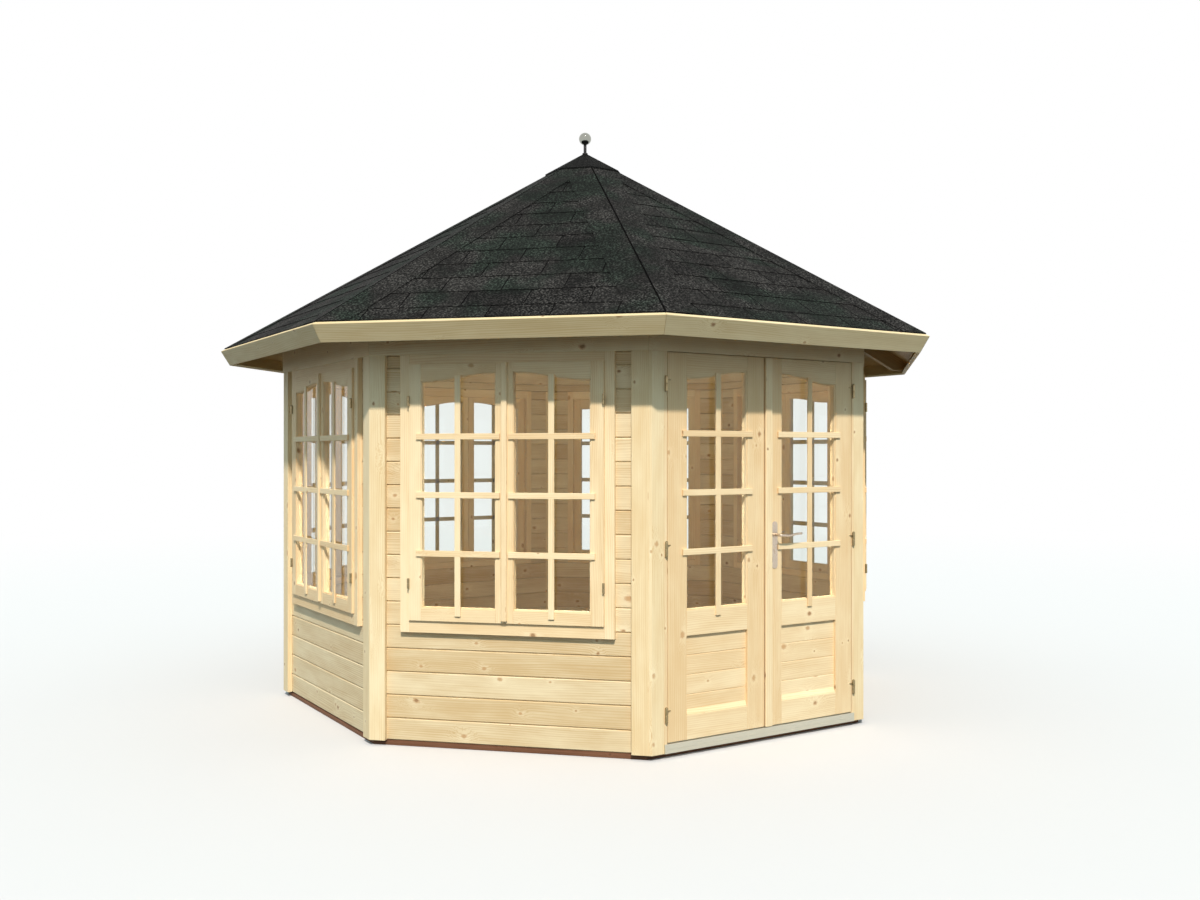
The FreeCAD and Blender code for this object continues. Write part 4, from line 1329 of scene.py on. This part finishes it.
def shingled_side(bm):
    """The courses of one slope, over one layer of felt."""
    lines = [FELT_EAVE]
    while lines[-1] > FELT_TOP + COURSE_STEP:
        lines.append(COURSE_LINE - COURSE_STEP * (len(lines) - 1))
    for course, line in enumerate(lines):
        y0 = up_the_slope(line)
        y1 = up_the_slope(lines[course + 1]) if course + 1 < len(lines) else up_the_slope(FELT_TOP)
        half = line * CORNER
        shift = TAB_WIDTH / 2 * (course % 2)
        start = math.floor((-half - shift) / TAB_WIDTH)
        for step in range(start, -start + 1):
            left = shift + step * TAB_WIDTH
            if left < half and left + TAB_WIDTH > -half:
                tab(bm, (left + SLOT / 2, left + TAB_WIDTH - SLOT / 2), y0, y1)
    edges_cut(bm)
    bmesh.ops.transform(bm, matrix=slope_plane, verts=bm.verts)
    mitre(bm, HIP_LINE)


def underlay_side(bm):
    """The sheet of black felt under the tabs of one slope."""
    half = FELT_EAVE * CORNER + 0.02
    sheet_of(bm, (-half, half), (up_the_slope(FELT_EAVE), up_the_slope(0.03)), (-SHINGLE, -0.003))
    edges_cut(bm)
    bmesh.ops.transform(bm, matrix=slope_plane, verts=bm.verts)
    mitre(bm)


piece("felt_underlay", all_round(underlay_side), UNDERLAY_FELT, ["roof_shingles"],
      ease=0)
piece("shingle_tabs", all_round(shingled_side), SHINGLE_FELT, ["roof_shingles"],
      ease=0)

# %% Strips over the hips
STRIP_REACH = 0.157                  # width of a hip strip on each slope
STRIP_LOW, STRIP_THICK = 0.0036, 0.002


def hip_side(bm):
    """The two half strips that lie on one slope."""
    hip_in_plane = Vector((EAVE_OUT * CORNER, -up_the_slope(0), 0)).normalized()
    inward = Vector((-abs(hip_in_plane.y), -abs(hip_in_plane.x), 0))
    eave, top = up_the_slope(FELT_EAVE), up_the_slope(FELT_TOP)
    for side in (-1, 1):
        strip = sheet_of(bm, (0, side * (EAVE_OUT * CORNER + 0.1)), (eave, top),
                         (STRIP_LOW, STRIP_LOW + STRIP_THICK))
        hip_at_eave = Vector((side * EAVE_OUT * CORNER, 0, 0))
        normal = Vector((side * inward.x, inward.y, 0))
        saw(bm, hip_at_eave + normal * STRIP_REACH, normal, strip)
    edges_cut(bm)
    bmesh.ops.transform(bm, matrix=slope_plane, verts=bm.verts)
    mitre(bm, HIP_LINE)


piece("hip_strips", all_round(hip_side), SHINGLE_FELT, ["roof_shingles"], ease=0)

# %% [markdown]
# ## Fascia
# Boards lean outwards round the eaves and hide the ends of the rafters. They are sawn from
# planed stock, so the solids serve with grain laid round the ring and eased arrises.

# %% The leaning boards
plain_piece("fascia_boards", FASCIA_TIMBER, ["fascia"], round_the_ring,
            ease=0.002)

# %% [markdown]
# ## Cap and finial
# A cap of felt on a timber point closes the top, folded over the eight hips, with a short
# turned-down edge. A cone with eight sides and no ends is its skin, an extruded rim is the
# edge, and solidify gives it thickness. A steel stem stands in it, with a collar below and a
# polished ball on top.

# %% The cap
CAP_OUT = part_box("roof_cap")[1].x
CAP_RISE, CAP_FLAT, CAP_SKIN = 0.0155, 0.014, 0.004
FINIAL_STEM, FINIAL_BALL, COLLAR = 0.0093, 0.038, 0.017

cap = fresh()
rim_level = APEX - SLOPE * CAP_OUT + CAP_RISE
tip_level = APEX - SLOPE * CAP_FLAT + CAP_RISE
place = Matrix.Translation((0, 0, (rim_level + tip_level) / 2))
place = place @ Matrix.Rotation(STEP / 2, 4, "Z")
bmesh.ops.create_cone(cap, cap_ends=False, segments=SIDES,
                      radius1=CAP_OUT / math.cos(STEP / 2), radius2=CAP_FLAT / math.cos(STEP / 2),
                      depth=tip_level - rim_level, matrix=place)
rim = [e for e in cap.edges if all(v.co.z < rim_level + 1e-4 for v in e.verts)]
skirt = bmesh.ops.extrude_edge_only(cap, edges=rim)["geom"]
bmesh.ops.translate(cap, verts=[v for v in skirt if isinstance(v, bmesh.types.BMVert)],
                    vec=(0, 0, -CAP_RISE))
bmesh.ops.recalc_face_normals(cap, faces=cap.faces)
bmesh.ops.solidify(cap, geom=cap.faces[:], thickness=CAP_SKIN)
tone = cap.faces.layers.float["board_tone"]
for face in cap.faces:
    face[tone] = 0.5
piece("cap", cap, CAP_FELT, ["roof_cap"], ease=0.001, angle=15)

# %% The stem, collar and ball
finial_low, finial_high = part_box("finial")
ball_level = finial_high.z - FINIAL_BALL
stem_foot = finial_low.z
top = fresh()
barrel(top, 0, 0, stem_foot, ball_level - FINIAL_BALL * 0.9, FINIAL_STEM, 0.0005)
barrel(top, 0, 0, tip_level - 0.001, tip_level + 0.007, COLLAR, 0.002)
piece("finial_stem", top, STEM_DARKENED_METAL, ["finial"], ease=0, smooth=True)
ball = fresh()
bmesh.ops.create_uvsphere(ball, u_segments=48, v_segments=32, radius=FINIAL_BALL,
                          matrix=Matrix.Translation((0, 0, ball_level)))
piece("finial_ball", ball, BALL_STEEL, ["finial"], ease=0, smooth=True)

# %% [markdown]
# ## Floor, light and camera
# The pavilion stands on a pale floor that takes its shadow. A low sun from the left front
# gives the clear line of the eave's shadow across the walls, and a cool sky fills the shade.
# To the camera, and in glass and metal, the sky is plain white. Far from the pavilion the
# floor glows white too, so that it meets the sky without an edge.

# %% The floor
FLOOR_HALF = 60.0
FLOOR_NEAR, FLOOR_FAR = 5.0, 16.0


def floor_finish():
    """Pale floor near the pavilion, plain white far from it."""
    made, tree, shader = material("pale floor")
    bounce = add(tree, "LightPath").outputs["Is Diffuse Ray"]
    colour = blended(tree, bounce, (0.665, 0.635, 0.645, 1), (0.05, 0.06, 0.06, 1))
    tree.links.new(colour, shader.inputs["Base Color"])
    shader.inputs["Roughness"].default_value = 0.9
    shader.inputs["Specular IOR Level"].default_value = 0.1
    place = add(tree, "TexCoord").outputs["Object"]
    away = add(tree, "VectorMath", {0: place}, operation="LENGTH").outputs["Value"]
    share = maths(tree, "MULTIPLY", between(tree, away, FLOOR_NEAR, FLOOR_FAR), is_seen(tree))
    white = add(tree, "Emission", {"Color": (1, 1, 1, 1), "Strength": 1.0})
    mix = add(tree, "MixShader", {0: share, 1: shader.outputs[0], 2: white.outputs[0]})
    tree.links.new(mix.outputs[0], tree.nodes["Material Output"].inputs["Surface"])
    return made


ground = bmesh.new()
bmesh.ops.create_grid(ground, x_segments=1, y_segments=1, size=FLOOR_HALF,
                      matrix=Matrix.Translation((0, 0, -0.001)))
ground_mesh = bpy.data.meshes.new("studio_floor")
ground.to_mesh(ground_mesh)
ground.free()
ground_mesh.materials.append(floor_finish())
studio_floor = put_in_scene("studio_floor", ground_mesh)

# %% The light
TO_SUN = Vector((-0.35, -0.606, 0.714))
SUN_STRENGTH, SUN_COLOUR = 3.7, (1.0, 0.95, 0.86)
SKY_STRENGTH, SKY_COLOUR = 0.78, (0.76, 0.98, 1.03, 1.0)

lamp = bpy.data.lights.new("low sun", "SUN")
lamp.energy, lamp.color, lamp.angle = SUN_STRENGTH, SUN_COLOUR, math.radians(2.2)
sun = put_in_scene("low sun", lamp)
sun.rotation_mode = "QUATERNION"
sun.rotation_quaternion = TO_SUN.to_track_quat("Z", "Y")

# a weak warm lamp in the room, for the light that pale walls throw from one to the other
ROOM_POWER, ROOM_COLOUR, ROOM_HEIGHT, ROOM_RADIUS = 13.0, (0.90, 1.0, 0.72), 1.7, 0.5
room = bpy.data.lights.new("room light", "POINT")
room.energy, room.color, room.shadow_soft_size = ROOM_POWER, ROOM_COLOUR, ROOM_RADIUS
glow = put_in_scene("room light", room)
glow.location = (0, 0, ROOM_HEIGHT)
glow.visible_camera = glow.visible_transmission = glow.visible_glossy = False

world = bpy.data.worlds.new("studio sky")
world.use_nodes = True
bpy.context.scene.world = world
sky_tree = world.node_tree
sky = sky_tree.nodes["Background"]
sky.inputs["Color"].default_value = SKY_COLOUR
sky.inputs["Strength"].default_value = SKY_STRENGTH
white_sky = add(sky_tree, "Background", {"Color": (1, 1, 1, 1), "Strength": 1.0})
both = add(sky_tree, "MixShader", {0: is_seen(sky_tree), 1: sky.outputs[0],
                                   2: white_sky.outputs[0]})
sky_tree.links.new(both.outputs[0], sky_tree.nodes["World Output"].inputs["Surface"])

# %% The camera
CAMERA_PLACE = Vector((-3.689, -5.940, 1.4231))
CAMERA_LOOKS = Vector((0.5388, 0.8424, 0.0007))
camera_data = bpy.data.cameras.new("camera")
camera_data.lens = 33.74
camera_data.sensor_width = 36.0
camera_data.shift_y = 0.0029
camera = put_in_scene("camera", camera_data)
camera.location = CAMERA_PLACE
camera.rotation_mode = "QUATERNION"
camera.rotation_quaternion = CAMERA_LOOKS.to_track_quat("-Z", "Y")
bpy.context.scene.camera = camera
bpy.context.scene.view_settings.view_transform = "Standard"
